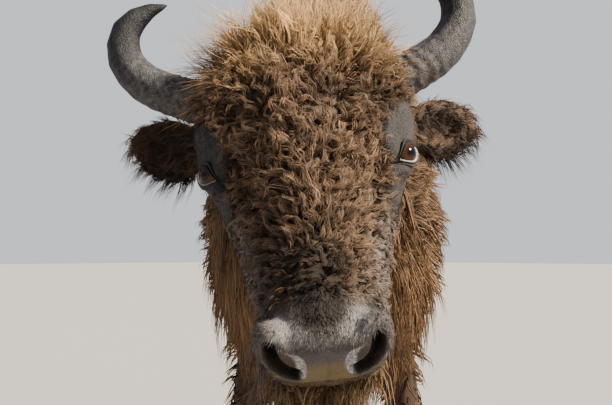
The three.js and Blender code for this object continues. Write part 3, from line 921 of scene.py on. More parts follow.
FUR = Finish(
    "fur", roughness=0.60, patch_scale=60.0, speck_scale=900.0, strength=0.25,
    bump=0.15, bump_depth=0.0006, gloss=0.13,
)
HIDE = Finish(
    "hide", roughness=0.66, patch_scale=90.0, speck_scale=700.0, strength=0.40,
    bump=0.75, bump_depth=0.0014, gloss=0.20, smoother_if_wet=0.34, streak_scale=760.0, streak_strength=1.6,
)
KERATIN = Finish(
    "horn keratin", roughness=0.50, patch_scale=70.0, speck_scale=620.0, strength=0.70,
    bump=0.8, bump_depth=0.0024, gloss=0.22,
)
HOOF = Finish(
    "hoof keratin", roughness=0.55, patch_scale=60.0, speck_scale=500.0, strength=0.5,
    bump=0.6, bump_depth=0.0015, gloss=0.30,
)
EYEBALL = Finish(
    "eyeball", roughness=0.05, patch_scale=200.0, speck_scale=2500.0, strength=0.25,
    bump=0.0, bump_depth=0.0001, gloss=0.20,
)
FLOOR = Finish(
    "pale floor", roughness=0.85, patch_scale=0.6, speck_scale=4.0, strength=0.03,
    bump=0.02, bump_depth=0.001,
)


# ---------------------------------------------------------------- the skin


def flesh_nodes() -> list[str]:
    """The CAD nodes that one skin stands for."""
    apart = ("eye", "horn", "hoof", "dewclaw")
    return sorted(n for n in NODES if not any(word in n for word in apart))


@dataclass
class Skin:
    """The one skin, which lies inside the coat's outer form by the coat's depth."""

    grain: float = 0.006  # how fine the form is first sampled
    body_share: float = 0.12  # of the faces behind the head that are kept
    socket_radius: float = 0.037
    fill_proud: float = 0.002  # how far the nostrils' fill stands out of the nose's front
    obj: bpy.types.Object = field(init=False)
    places: Places = field(init=False)

    def build(self) -> "Skin":
        """Makes the mesh, its folds, its markings and its unwrap."""
        mesh = self.refined(self.outer_form())
        self.inset(mesh)
        for side in SIDES:
            Lids(side).carve(mesh)
        Nose().carve(mesh)
        mesh.name = "skin"
        self.obj = link(bpy.data.objects.new("skin", mesh))
        self.unwrap()
        self.places = Places(corner_places(mesh), corner_normals(mesh), self.depth_of(mesh))
        paint(mesh, "Tone", self.tones())
        note(mesh, "Wet", self.wet())
        note_vector(mesh, "Flow", flow_of_coat(self.places))
        finish_piece(self.obj, HIDE.material())
        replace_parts(self.obj, *flesh_nodes())
        return self

    def outer_form(self) -> bpy.types.Mesh:
        """The coat's outer form as one even surface, finer on the head."""
        mesh = joined_copy(flesh_nodes() + ["eye_left", "eye_right"])
        self.fill_hollows(mesh)
        mesh = applied(work_object(mesh), ("REMESH", {"mode": "VOXEL", "voxel_size": self.grain}))
        at = places_of(mesh)
        self.smooth_facets(mesh, at)
        return self.thinned(mesh, np.flatnonzero(at.on_head < 0.5))

    def fill_hollows(self, mesh: bpy.types.Mesh) -> None:
        """Adds balls that close the horns' sockets and fill the nostrils' notches."""
        bm = bmesh.new()
        bm.from_mesh(mesh)
        for side in SIDES:
            balls = [(HORN_SOCKET, self.socket_radius)]
            for x, z, radius in NOSTRIL_FILL:
                balls.append((np.array([x, Nose.front(x, z) + radius - self.fill_proud, z]), radius))
            for middle, radius in balls:
                place = Matrix.Translation(HEAD.to_model(mirrored(middle, side)))
                bmesh.ops.create_icosphere(bm, subdivisions=3, radius=radius, matrix=place)
        bm.to_mesh(mesh)
        bm.free()

    def thinned(self, mesh: bpy.types.Mesh, body: Array) -> bpy.types.Mesh:
        """The mesh with fewer faces on the body.

        Args:
            mesh: the whole animal, evenly sampled.
            body: the numbers of the vertices behind the head.

        Returns:
            A new mesh.
        """
        total = len(mesh.vertices)
        head_share = 1.0 - len(body) / total
        ratio = head_share + (1.0 - head_share) * self.body_share
        obj = work_object(mesh)
        group = obj.vertex_groups.new(name="body")
        group.add(body.tolist(), 1.0, "REPLACE")
        result = applied(obj, ("DECIMATE", {"ratio": ratio, "vertex_group": group.name}))
        LOG.info("outer form: %d vertices thinned to %d", total, len(result.vertices))
        return result

    def smooth_facets(self, mesh: bpy.types.Mesh, at: Places) -> None:
        """Softens the facets of the outer form, most on the trunk and least round the nostrils."""
        share = 0.5 * (1 - at.on_muzzle() * ramp(at.y, -0.24, -0.27)) * (1 - 0.5 * at.on_ear)
        edges = edge_pairs(mesh)
        places = evened(at.model, edges, share, 6)
        places = evened(places, edges, share * (1 - at.on_head), 24)
        move_corners(mesh, places)

    def refined(self, mesh: bpy.types.Mesh) -> bpy.types.Mesh:
        """Splits the faces round the eyes and at the nose."""
        bm = bmesh.new()
        bm.from_mesh(mesh)
        bmesh.ops.triangulate(bm, faces=bm.faces[:])
        for eye_reach, nose_back in SPLITTING:
            at = self.read(bm)
            wanted = (at.from_eye() < eye_reach) | ((at.y < nose_back) & (at.on_head > 0.5))
            bm.verts.ensure_lookup_table()
            edges = [e for e in bm.edges if wanted[e.verts[0].index] and wanted[e.verts[1].index]]
            bmesh.ops.subdivide_edges(bm, edges=edges, cuts=1, use_grid_fill=True, smooth=0.0)
            bmesh.ops.triangulate(bm, faces=[f for f in bm.faces if len(f.verts) > 3])
            bm.verts.index_update()
        result = bpy.data.meshes.new("skin")
        bm.to_mesh(result)
        bm.free()
        return result

    @staticmethod
    def read(bm: bmesh.types.BMesh) -> Places:
        """The places of a bmesh's vertices."""
        bm.verts.index_update()
        bm.normal_update()
        co = np.array([v.co for v in bm.verts])
        return Places(co, np.array([v.normal for v in bm.verts]), np.zeros(len(co)))

    def inset(self, mesh: bpy.types.Mesh) -> None:
        """Draws the surface in by the coat's depth, and keeps that depth on the mesh."""
        edges = edge_pairs(mesh)
        at = places_of(mesh)
        depth = coat_depth(at)
        depth = evened(np.repeat(depth[:, None], 3, 1), edges, np.full(len(depth), 0.5), 6)[:, 0]
        deep = ramp(depth, 0.010, 0.030)
        normal = unit(evened(at.normal, edges, 0.3 + 0.6 * deep, 8))
        inner = evened(at.model - normal * depth[:, None], edges, 0.5 * deep, 12)
        move_corners(mesh, inner)
        note(mesh, "Depth", np.linalg.norm(at.model - inner, axis=1))

    @staticmethod
    def depth_of(mesh: bpy.types.Mesh) -> Array:
        """The coat's depth at each vertex."""
        values = np.empty(len(mesh.vertices), np.float32)
        mesh.attributes["Depth"].data.foreach_get("value", values)
        return values.astype(float)

    def unwrap(self) -> None:
        """Unwraps the skin into the map that the coat shares."""
        self.obj.data.uv_layers.new(name="OFBake")
        bpy.context.view_layer.objects.active = self.obj
        self.obj.select_set(True)
        bpy.ops.object.mode_set(mode="EDIT")
        bpy.ops.mesh.select_all(action="SELECT")
        bpy.ops.uv.smart_project(angle_limit=math.radians(70), island_margin=0.001)
        bpy.ops.object.mode_set(mode="OBJECT")
        self.obj.select_set(False)

    def wet(self) -> Array:
        """How moist the skin is: on the bare nose, in the nostrils and along the lids."""
        nose = nose_pad(self.places) * 0.7
        rims = [Lids(side).wet_rim(self.places) for side in SIDES]
        return np.maximum.reduce([nose, Nose().floor(self.places), *rims])

    def tones(self) -> Array:
        """The skin's colours: the coat's markings, darker where deep hair shades it."""
        shade = 1.0 - 0.62 * ramp(self.places.depth, 0.004, 0.014)
        colour = markings(self.places) * shade[:, None]
        for side in SIDES:
            colour = Lids(side).tones(self.places, colour)
        return Nose().tones(self.places, colour)


@dataclass
class Lids:
    """The lids round one eye: an almond opening with a thick rim, and folds above and below it."""

    side: str
    half_length: float = 0.92  # radians at the eye's centre, like the two heights
    upper_height: float = 0.48
    lower_height: float = 0.56
    narrowing: float = 0.42  # of the opening towards its corners
    rim: float = 0.0030  # the rim's height over the eyeball
    sink: float = 0.0060  # how far behind the eyeball's front the skin lies in the opening
    fold: float = 0.0030
    moulded: float = 0.062  # how far from the eye's centre the skin is shaped

    def angles(self, head: Array) -> tuple[Array, Array, Array]:
        """Angles along and up across the opening from the eye's axis, and the distance from its centre."""
        centre, axis, corner = (mirrored(v, self.side) for v in (EYE_CENTRE, EYE_AXIS, EYE_CORNER))
        across = unit(np.cross(axis, corner))
        across = across * np.sign(across @ HEAD.turn[2])
        along = unit(corner - axis * (corner @ axis))
        offset = head - centre
        ahead = np.maximum(offset @ axis, 1e-6)
        reach = np.linalg.norm(offset, axis=1)
        return np.arctan2(offset @ along, ahead), np.arctan2(offset @ across, ahead), reach

    def opening(self, head: Array) -> tuple[Array, Array, Array]:
        """How far out of the almond opening each place is, 1 at its edge, the angle up and the distance."""
        along, across, reach = self.angles(head)
        height = np.where(across > 0, self.upper_height, self.lower_height)
        narrowed = 1.0 - self.narrowing * np.clip(along / self.half_length, -1, 1) ** 2
        return np.hypot(along / self.half_length, across / (height * narrowed)), across, reach

    @staticmethod
    def folds(edge: Array, across: Array) -> Array:
        """The creases and ridges that ring the opening, strongest above it."""
        rings = -near(edge, 1.40, 0.10) + 1.2 * near(edge, 1.62, 0.14)
        rings = rings - 0.9 * near(edge, 1.92, 0.12) + 0.5 * near(edge, 2.15, 0.14)
        above = 0.35 + 0.65 * ramp(across, 0.0, 0.3)
        return above * rings * ramp(edge, 1.1, 1.3)

    def carve(self, mesh: bpy.types.Mesh) -> None:
        """Sinks the opening behind the eyeball and raises the rim and folds round it."""
        head = HEAD.to_head(corner_places(mesh))
        centre = mirrored(EYE_CENTRE, self.side)
        edge, across, reach = self.opening(head)
        in_front = (head - centre) @ mirrored(EYE_AXIS, self.side) > -0.004
        close = (reach < self.moulded) & in_front
        profile = EYE_RADIUS - self.sink + (self.rim + self.sink) * ramp(edge, 0.90, 1.08)
        profile = profile + self.fold * self.folds(edge, across)
        new_reach = mix(reach, profile, ramp(edge, 2.6, 1.5) * close)
        moved = centre + (head - centre) * (new_reach / np.maximum(reach, 1e-6))[:, None]
        move_corners(mesh, HEAD.to_model(np.where(close[:, None], moved, head)))
        LOG.info("lids %s: %d vertices shaped", self.side, int(close.sum()))

    def here(self, at: Places) -> Array:
        """Whether a place is near this eye."""
        return (at.from_eye() < 0.045) & (at.head[:, 0] * SIDES[self.side] > 0)

    def wet_rim(self, at: Places) -> Array:
        """The moist edge of the lower lid, where a pale painted reflection goes."""
        edge, across, _ = self.opening(at.head)
        return near(edge, 1.03, 0.034) * ramp(across, 0.10, -0.16) * self.here(at)

    def tones(self, at: Places, colour: Array) -> Array:
        """The skin's colours with the dark lids, painted shade in their folds' creases, and the tear's
        groove.
        """
        edge, across, _ = self.opening(at.head)
        dark = ramp(edge, 1.40, 1.20) * (0.55 + 0.45 * ramp(across, -0.25, 0.05))
        # Painted shade in the creases of the folds, kept above the opening.
        crease_shade = 0.75 * near(edge, 1.42, 0.08) + 0.7 * near(edge, 1.93, 0.08)
        lid = np.maximum(dark, crease_shade * ramp(across, 0.0, 0.2)) * self.here(at)
        share, gap = segment_place(at.head, mirrored(TEAR_LINE, self.side))
        tear = ramp(gap, 0.007, 0.003) * (1 - share) * 0.8
        return layered(
            colour, (Shade.LID_AND_CREASE_SHADE.rgb, lid), (Shade.WET_RIM.rgb, self.wet_rim(at)), (Shade.TEAR.rgb, tear)
        )


@dataclass
class Nose:
    """The nostrils, the groove between them and the line of the mouth."""

    rim: float = 0.0030
    wall: float = 0.0028  # how wide the nostril's steep edge is
    floor_depth: float = 0.0060
    hole_depth: float = 0.024
    groove: float = 0.0016
    mouth: float = 0.0035

    @staticmethod
    def front(x: Array | float, z: Array | float) -> Array | float:
        """How far forward the nose's front lies, in the head's frame."""
        rounding = 0.012 * (x / 0.064) ** 4
        slope = 0.027 * (np.clip(z - 0.006, 0, None) / 0.028) ** 2.2
        return -0.309 + rounding + slope

    @staticmethod
    def flat(head: Array) -> Array:
        """Places seen from the front, as x and z, both sides as one."""
        return np.stack([np.abs(head[:, 0]), head[:, 2]], axis=1)

    @staticmethod
    def gap(head: Array) -> Array:
        """How far each place is outside the nearer nostril's edge; it is negative inside."""
        flat = Nose.flat(head)
        _, gap = segment_place(flat, NOSTRIL_EDGE)
        inside = np.zeros(len(flat), bool)
        for (x, z), (next_x, next_z) in zip(NOSTRIL_EDGE[:-1], NOSTRIL_EDGE[1:]):
            if z == next_z:
                continue
            crosses = (z > flat[:, 1]) != (next_z > flat[:, 1])
            meets = x + (flat[:, 1] - z) * (next_x - x) / (next_z - z)
            inside ^= crosses & (flat[:, 0] < meets)
        return np.where(inside, -gap, gap)

    @staticmethod
    def inside(at: Places) -> Array:
        """Soft share of the nostrils."""
        return ramp(Nose.gap(at.head), 0.0006, -0.0010) * (at.y < -0.25) * at.on_head

    def off_hole(self, at: Places) -> Array:
        """Distance to the middle line of the nostril's deep part, seen from the front."""
        return segment_place(self.flat(at.head), NOSTRIL_HOLE)[1]

    def floor(self, at: Places) -> Array:
        """The moist floor at the inner end of the nostrils, where a pale bluish painted reflection goes."""
        _, gap = segment_place(self.flat(at.head), NOSTRIL_FLOOR)
        return ramp(gap, 0.0080, 0.0035) * self.inside(at) * (0.25 + 0.75 * ramp(at.z, 0.002, -0.010))

    def tones(self, at: Places, colour: Array) -> Array:
        """The skin's colours with the insides of the nostrils, painted shade in their deep part and a
        painted shadow under their inner upper edge.
        """
        inside = self.inside(at)
        speckled = (1 + 0.3 * waves(at.model, 0.006, 41))[:, None]
        # Near-black painted shade in the nostril's deep part.
        hole = ramp(self.off_hole(at), 0.0085, 0.0045) * inside
        # A painted shadow just inside the upper inner edge, where it overhangs.
        brim_shadow = near(self.gap(at.head), -0.0016, 0.0016) * inside
        upper = ramp(at.x, 0.050, 0.044) * ramp(at.z, -0.016, -0.006)
        return layered(
            colour,
            (Shade.NOSTRIL_WALL.rgb, inside),
            # the painted reflection on the moist floor
            (Shade.NOSTRIL_FLOOR.rgb * speckled, self.floor(at)),
            (Shade.NOSTRIL_SHADE.rgb, hole),
            (Shade.NOSTRIL_SHADE.rgb, brim_shadow * upper * 0.8),
        )

    def lift(self, at: Places, gap: Array) -> Array:
        """How far the nostrils' rims stand out; it is negative in the groove and along the mouth."""
        front = ramp(at.y, -0.255, -0.272) * at.on_head
        wing = 0.35 + 0.65 * ramp(at.x, 0.046, 0.054)
        rim = near(gap, 0.0045, 0.0050) * wing * (gap > -0.001) * front
        facing = ramp(at.normal @ HEAD.direction(np.array([0, -1.0, 0])), 0.0, 0.3)
        middle = ramp(at.z, 0.006, -0.008) * ramp(at.z, -0.052, -0.045)
        groove = near(at.x, 0, 0.0030) * middle * front * facing
        over_mouth = (at.head - MOUTH_FRONT) @ MOUTH_NORMAL
        mouth = near(over_mouth, 0.0, 0.0032) * ramp(at.y, -0.11, -0.15) * at.on_head
        return self.rim * rim - self.groove * groove - self.mouth * mouth

    def carve(self, mesh: bpy.types.Mesh) -> None:
        """Raises the rims, cuts the groove and the mouth's line, and sinks the nostrils."""
        at = places_of(mesh)
        gap = self.gap(at.head)
        head = HEAD.to_head(at.model + at.normal * self.lift(at, gap)[:, None])
        deep = ramp(self.off_hole(at), 0.0085, 0.0030) * (1 - 0.5 * ramp(at.z, -0.016, -0.034))
        sunk = self.floor_depth + (self.hole_depth - self.floor_depth) * deep
        target = self.front(at.x, at.z) + sunk * ramp(gap, 0.0, -self.wall)
        share = ramp(gap, 0.0010, -0.0010) * (at.y < -0.255) * (at.on_head > 0.5)
        head[:, 1] = mix(head[:, 1], target, share)
        move_corners(mesh, HEAD.to_model(head))


# ---------------------------------------------------------------- the coat


@dataclass(frozen=True)
class Lock:
    """How the hairs of a lock are shaped; lengths are in metres."""

    length: float
    radius: float
    steps: int = 5
    strands: int = 4
    spread: float = 0.004  # of the strands' roots
    gather: float = 0.6  # how far the strands come together at the tip
    curl: float = 0.0  # radius of the waves
    turns: float = 1.0
    rise: float = 0.8  # of the coat's depth that the lock stands up
    sag: float = 0.0  # how far the tip hangs, as a share of the length
    full_depth: float = 0.0  # the coat's depth at which locks reach their full length
    stray: float = 0.22  # how much the direction varies
    swirl: float = 0.35  # how much neighbouring locks turn together
    swirl_scale: float = 0.05
    order: float = 0.0  # how far neighbouring locks wave in step
    variety: float = 0.20  # how much the locks' tones differ
    # colour factor at the root: the hair's darker roots, and painted shade deep in the coat
    root_shade: float = 0.5
    # colour factor at the tip: the hair's paler tips, and a painted highlight
    tip_tone_and_highlight: float = 1.3


@dataclass(frozen=True)
class CoatRegion:
    """One piece of the coat: where it grows, how thickly, and its lock."""

    name: str
    locks: int
    lock: Lock
    where: Field


@dataclass
class Roots:
    """Where locks are rooted on the skin."""

    at: Places
    uv: Array


@dataclass
class DrawnLocks:
    """What chance gives to the locks of a region, one row for each."""

    place: Array
    lie: Array
    side: Array
    out: Array
    length: Array
    stand: Array
    phase: Array
    wind: Array
    tone: Array
    uv: Array

    def repeated(self, times: int) -> "DrawnLocks":
        """The same, with a row for each strand of every lock."""
        return DrawnLocks(*(np.repeat(getattr(self, part.name), times, axis=0) for part in fields(self)))


def stacked(values: Array) -> Array:
    """One value for each strand, shaped to multiply a strand's rows of places."""
    return values[:, None, None]


@dataclass
class SkinSurface:
    """The skin as triangles from which roots are drawn."""

    skin: Skin
    patch: float = 0.003  # a strand's size on the unwrap
    triangles: Array = field(init=False)
    uv: Array = field(init=False)
    area: Array = field(init=False)
    middles: Places = field(init=False)

    def __post_init__(self) -> None:
        """Reads the triangles, their areas and their corners on the unwrap."""
        mesh = self.skin.obj.data
        mesh.calc_loop_triangles()
        count = len(mesh.loop_triangles)
        corners = np.empty(count * 3, np.int32)
        mesh.loop_triangles.foreach_get("vertices", corners)
        loops = np.empty(count * 3, np.int32)
        mesh.loop_triangles.foreach_get("loops", loops)
        uv = np.empty(len(mesh.loops) * 2, np.float32)
        mesh.uv_layers["OFBake"].uv.foreach_get("vector", uv)
        self.triangles = corners.reshape(-1, 3)
        self.uv = uv.reshape(-1, 2)[loops].reshape(-1, 3, 2)
        points = self.skin.places.model[self.triangles]
        sides = np.cross(points[:, 1] - points[:, 0], points[:, 2] - points[:, 0])
        self.area = np.linalg.norm(sides, axis=1) / 2.0
        normal, depth = (self.mean(values) for values in (self.skin.places.normal, self.skin.places.depth))
        self.middles = Places(points.mean(1), normal, depth)

    def mean(self, values: Array) -> Array:
        """A vertex value, as the mean over each triangle."""
        return values[self.triangles].mean(1)

    def roots(self, count: int, where: Field, rng: np.random.Generator) -> Roots:
        """Draws roots spread evenly by area and by the field's value.

        Args:
            count: how many roots.
            where: how thickly they grow at a place.
            rng: the source of chance.

        Returns:
            The roots.
        """
        weight = self.area * np.clip(where(self.middles), 0, None)
        edges = np.cumsum(weight)
        picks = (np.arange(count) + rng.uniform(size=count)) * (edges[-1] / count)
        chosen = np.minimum(np.searchsorted(edges, picks), len(edges) - 1)
        a, b = rng.uniform(size=(2, count))
        flip = a + b > 1
        a, b = np.where(flip, 1 - a, a), np.where(flip, 1 - b, b)
        shares = np.stack([1 - a - b, a, b], axis=1)
        places = self.skin.places

        def blended(values: Array) -> Array:
            """A vertex value at the roots."""
            corners = values[self.triangles[chosen]]
            return (corners * shares.reshape(count, 3, *[1] * (corners.ndim - 2))).sum(1)

        at = Places(blended(places.model), unit(blended(places.normal)), blended(places.depth))
        return Roots(at, (self.uv[chosen] * shares[:, :, None]).sum(1))


@dataclass
class Coat:
    """Grows every region of the coat as closed, tapering, three-sided strands."""

    surface: SkinSurface
    corners: int = 3
    below: float = 0.0015  # how deep in the skin a strand starts
    length_variety: float = 0.16
    least_length: float = 0.22  # of a lock where the coat is thin, as a share of its full length
    least_stand: float = 0.0012  # how far even the flattest lock rises off the skin
    order_scale: float = 0.034  # how far apart locks that wave in step are
    order_swing: float = 2.2  # radians
    strand_variety: float = 0.10  # how much the tones differ within a lock

    def grow(self, region: CoatRegion, seed: int) -> bpy.types.Object:
        """Makes one region's piece.

        Args:
            region: where it grows and what its locks are.
            seed: picks the chance draws.

        Returns:
            The piece.
        """
        rng = np.random.default_rng(seed)
        roots = self.surface.roots(region.locks, region.where, rng)
        locks = self.drawn(region.lock, roots, rng, seed)
        lines, tones, uv = self.lines(region.lock, locks, rng)
        obj = self.strand_mesh(region, lines, tones, uv, rng)
        return finish_piece(obj, FUR.material())

    def drawn(self, lock: Lock, roots: Roots, rng: np.random.Generator, seed: int) -> DrawnLocks:
        """What chance gives to each lock.

        Args:
            lock: the shape of the locks.
            roots: where they grow.
            rng: the source of chance.
            seed: picks the swirls.

        Returns:
            One row for each lock.
        """
        at = roots.at
        count = len(at.model)
        lie = lie_of_coat(at)
        turn = lock.swirl * waves(at.model, lock.swirl_scale, seed + 1) + lock.stray * rng.normal(size=count)
        lie = lie * np.cos(turn)[:, None] + np.cross(at.normal, lie) * np.sin(turn)[:, None]
        grown = np.clip(1.0 + self.length_variety * rng.normal(size=count), 0.55, 1.5)
        if lock.full_depth:
            grown = grown * np.clip(at.depth / lock.full_depth, self.least_length, 1.15)
        stand = at.depth * lock.rise * rng.uniform(0.45, 1.1, count) + self.least_stand
        phase = rng.uniform(0, 2 * math.pi, count) * (1 - lock.order)
        phase = phase + lock.order * self.order_swing * waves(at.model, self.order_scale, seed + 2)
        hand = np.where(rng.uniform(size=count) < 0.5 * (1 - lock.order), -1, 1)
        wind = lock.turns * rng.uniform(0.8, 1.2, count) * hand
        tone = markings(at) * np.clip(1.0 + lock.variety * rng.normal(size=(count, 1)), 0.4, 1.9)
        return DrawnLocks(
            place=at.model,
            lie=lie,
            side=np.cross(at.normal, lie),
            out=at.normal,
            length=grown * lock.length,
            stand=stand,
            phase=phase,
            wind=wind,
            tone=tone,
            uv=roots.uv,
        )

    def lines(self, lock: Lock, locks: DrawnLocks, rng: np.random.Generator) -> tuple[Array, Array, Array]:
        """The middle line, colour and unwrap place of every strand.

        Args:
            lock: the shape of the locks.
            locks: the locks that were drawn.
            rng: the source of chance.

        Returns:
            (N, steps + 1, 3) lines, (N, 3) colours and (N, 2) places on the unwrap.
        """
        strand = locks.repeated(lock.strands)
        total = len(strand.place)
        angle = rng.uniform(0, 2 * math.pi, total)
        off = lock.spread * np.sqrt(rng.uniform(size=total))
        reach = stacked(strand.length * rng.uniform(0.78, 1.12, total))
        height = stacked(strand.stand * rng.uniform(0.8, 1.15, total))
        lie, side, out = strand.lie[:, None], strand.side[:, None], strand.out[:, None]
        t = np.linspace(0, 1, lock.steps + 1)[None, :, None]
        beside = lie * stacked(off * np.cos(angle)) + side * stacked(off * np.sin(angle))
        path = strand.place[:, None] + beside * (1.0 - lock.gather * t) - out * self.below
        path = path + lie * (reach * t * (1 - 0.12 * t)) + out * (height * (1 - (1 - t) ** 1.9))
        phase = stacked(strand.phase)
        swing = 2 * math.pi * stacked(strand.wind) * t + phase
        wave = lock.curl * np.clip(reach / lock.length, 0.3, 1.2) * np.minimum(1.0, 3.0 * t)
        path = path + side * (wave * (np.sin(swing) - np.sin(phase)))
        bounce = 0.7 * (np.cos(swing) - np.cos(phase)) * np.minimum(1.0, 2 * t)
        path = path + out * (wave * bounce)
        path = path - np.array([0, 0, 1.0]) * (lock.sag * reach * t**2)
        lighter = np.clip(1.0 + self.strand_variety * rng.normal(size=(total, 1)), 0.7, 1.4)
        return path, strand.tone * lighter, strand.uv

    def strand_mesh(
        self, region: CoatRegion, lines: Array, tones: Array, uv: Array, rng: np.random.Generator
    ) -> bpy.types.Object:
        """Wraps every middle line in a three-sided skin that tapers to a point.

        Args:
            region: names the piece and gives the strands' radius.
            lines: (N, K, 3) middle lines.
            tones: (N, 3) colours.
            uv: (N, 2) places on the unwrap.
            rng: the source of chance.

        Returns:
            The piece, one mesh with all its strands.
        """
        lock, sides = region.lock, self.corners
        count, rows, _ = lines.shape
        t = np.linspace(0, 1, rows)
        tangent = unit(np.gradient(lines, axis=1))
        helper = unit(rng.normal(size=(count, 1, 3)))
        first = unit(np.cross(tangent, helper))
        second = np.cross(tangent, first)
        radius = lock.radius * (0.55 + 0.45 * np.sin(math.pi * np.clip(t + 0.25, 0, 1))) * (1 - t**3)
        radius = radius[None, :, None] * rng.uniform(0.7, 1.3, (count, 1, 1))
        rings = []
        for k in range(sides):
            angle = 2 * math.pi * k / sides
            rings.append(lines + radius * (first * math.cos(angle) + second * math.sin(angle)))
        body = np.stack(rings, axis=2)[:, :-1].reshape(count, -1, 3)
        points = np.concatenate([body, lines[:, -1:]], axis=1)
        faces, patch = self.template(rows - 1)
        size = points.shape[1]
        index = (np.arange(count)[:, None, None] * size + faces[None]).reshape(-1, 3)
        place = uv[:, None, None, :] + self.surface.patch * (patch[None] - 0.5)
        # Darker at the root and lighter at the tip: the hair's own tones, with painted shade deep in the
        # coat and a painted highlight at the tips.
        shade = np.interp(t, [0, 0.55, 1.0], [lock.root_shade, 1.0, lock.tip_tone_and_highlight])
        ring_tone_and_light = np.concatenate([np.repeat(shade[:-1], sides), shade[-1:]])
        colour = tones[:, None, :] * ring_tone_and_light[None, :, None]
        mesh = mesh_of(f"coat_{region.name}", points.reshape(-1, 3), index, place.reshape(-1, 2))
        paint(mesh, "Tone", colour.reshape(-1, 3))
        return link(bpy.data.objects.new(mesh.name, mesh))

    def template(self, rows: int) -> tuple[Array, Array]:
        """One strand's triangles and their corners' places in its patch of the unwrap."""
        sides = self.corners
        faces, patch = [], []

        def corner(row: int, k: int) -> tuple[float, float]:
            """A corner's place in the patch."""
            return k / sides, row / rows

        for row in range(rows - 1):
            for k in range(sides):
                here, beside = row * sides + k, row * sides + (k + 1) % sides
                above, over = here + sides, beside + sides
                faces += [(here, beside, over), (here, over, above)]
                patch += [
                    (corner(row, k), corner(row, k + 1), corner(row + 1, k + 1)),
                    (corner(row, k), corner(row + 1, k + 1), corner(row + 1, k)),
                ]
        last, tip = (rows - 1) * sides, rows * sides
        for k in range(sides):
            faces.append((last + k, last + (k + 1) % sides, tip))
            patch.append((corner(rows - 1, k), corner(rows - 1, k + 1), corner(rows, k)))
        faces.append((2, 1, 0))
        patch.append((corner(0, 2), corner(0, 1), corner(0, 0)))
        return np.array(faces), np.array(patch)


def mesh_of(name: str, points: Array, triangles: Array, uv: Array) -> bpy.types.Mesh:
    """A mesh from arrays, with its unwrap.

    Args:
        name: the mesh's name.
        points: (N, 3) vertices.
        triangles: (M, 3) corners of faces.
        uv: (3 M, 2) places on the unwrap, one for each corner.

    Returns:
        The mesh.
    """
    mesh = bpy.data.meshes.new(name)
    mesh.vertices.add(len(points))
    mesh.vertices.foreach_set("co", points.astype(np.float32).ravel())
    mesh.loops.add(triangles.size)
    mesh.loops.foreach_set("vertex_index", triangles.astype(np.int32).ravel())
    mesh.polygons.add(len(triangles))
    mesh.polygons.foreach_set("loop_start", np.arange(0, triangles.size, 3, dtype=np.int32))
    mesh.uv_layers.new(name="OFBake")
    mesh.uv_layers["OFBake"].uv.foreach_set("vector", np.clip(uv, 0, 1).astype(np.float32).ravel())
    mesh.update(calc_edges=True)
    return mesh


def right_half(at: Places) -> Array:
    """Soft share of the head's right half."""
    return ramp(at.head[:, 0], 0.004, -0.004)


def face_growth(at: Places) -> Array:
    """Where the curls of the forehead and nose grow."""
    thin = ramp(at.on_muzzle(), 0.75, 0.35) * ramp(at.round_eye(), 0.75, 0.30) * (1 - at.on_crown() * 0.7)
    return np.maximum(at.on_face(), 0.9 * at.beside_bridge()) * thin


def forehead_left(at: Places) -> Array:
    """The left half of the forehead's curls."""
    return face_growth(at) * (1 - right_half(at)) * ramp(at.y, -0.125, -0.115)


def forehead_right(at: Places) -> Array:
    """The right half of the forehead's curls."""
    return face_growth(at) * right_half(at) * ramp(at.y, -0.125, -0.115)


def bridge(at: Places) -> Array:
    """The shorter curls of the nose's bridge."""
    return face_growth(at) * ramp(at.y, -0.105, -0.125)


def cheeks(at: Places) -> Array:
    """The cheeks and the sides of the jaw."""
    rest = (1 - at.on_face()) * (1 - at.on_crown()) * (1 - at.on_ear) * (1 - at.round_eye())
    return at.on_head * rest * (1 - at.on_muzzle()) * (1 - at.on_beard()) * (1 - at.beside_bridge())


def face_down(at: Places) -> Array:
    """The short hair round the eyes and on the muzzle."""
    eye = at.round_eye() * ramp(at.from_eye(), 0.0265, 0.031)
    haired = (1 - at.bare_nose()) * ramp(Nose.gap(at.head), 0.0, 0.003)
    muzzle = at.on_muzzle() * ramp(at.z, -0.062, -0.045) * haired
    return np.maximum(np.minimum(2.5 * muzzle, 1.0), eye) * at.on_head


def chin(at: Places) -> Array:
    """The spiky hair of the lips and chin."""
    return at.on_jaw() * ramp(at.y, -0.19, -0.23) * ramp(at.z, -0.050, -0.055)


def ears(at: Places) -> Array:
    """The ears."""
    return at.on_ear


def ear_fringe(at: Places) -> Array:
    """The long hair at the lower edge and tip of the ears."""
    low = ramp(at.down_facing, -0.2, 0.5)
    return at.on_ear * (0.15 + low + 0.5 * ramp(at.ear_share, 0.7, 0.95))


def beard(at: Places) -> Array:
    """The beard, and the long hair under the whole of the jaw."""
    under = 1 - ramp(-at.down_facing, -0.1, 0.3)
    jaw = at.on_jaw() * ramp(at.y, -0.250, -0.215) * ramp(at.z, -0.072, -0.092) * under
    return np.maximum(at.on_beard(), jaw) * at.on_head


def neck_coat(at: Places) -> Array:
    """The neck and the front of the shoulders."""
    return (1 - at.on_head) * ramp(at.back, -0.40, -0.55)


def apron(at: Places) -> Array:
    """The long hair that hangs from the throat and the chest."""
    under = ramp(at.down_facing, 0.05, 0.6) * ramp(at.back, -0.42, -0.52) * ramp(at.up, 0.66, 0.72)
    return under * (1 - at.on_head)


def hump_coat(at: Places) -> Array:
    """The hump, shoulders and chest."""
    return (1 - at.on_head) * ramp(at.back, -0.55, -0.42) * ramp(at.back, 0.25, 0.1) * (1 - at.on_leg())


def trunk_coat(at: Places) -> Array:
    """The barrel and the hindquarters."""
    return ramp(at.back, 0.12, 0.25) * (1 - at.on_leg()) * (1 - at.on_tail())


def tail_coat(at: Places) -> Array:
    """The tail's dock."""
    return at.on_tail() * (0.4 + ramp(at.up, 1.0, 0.9))


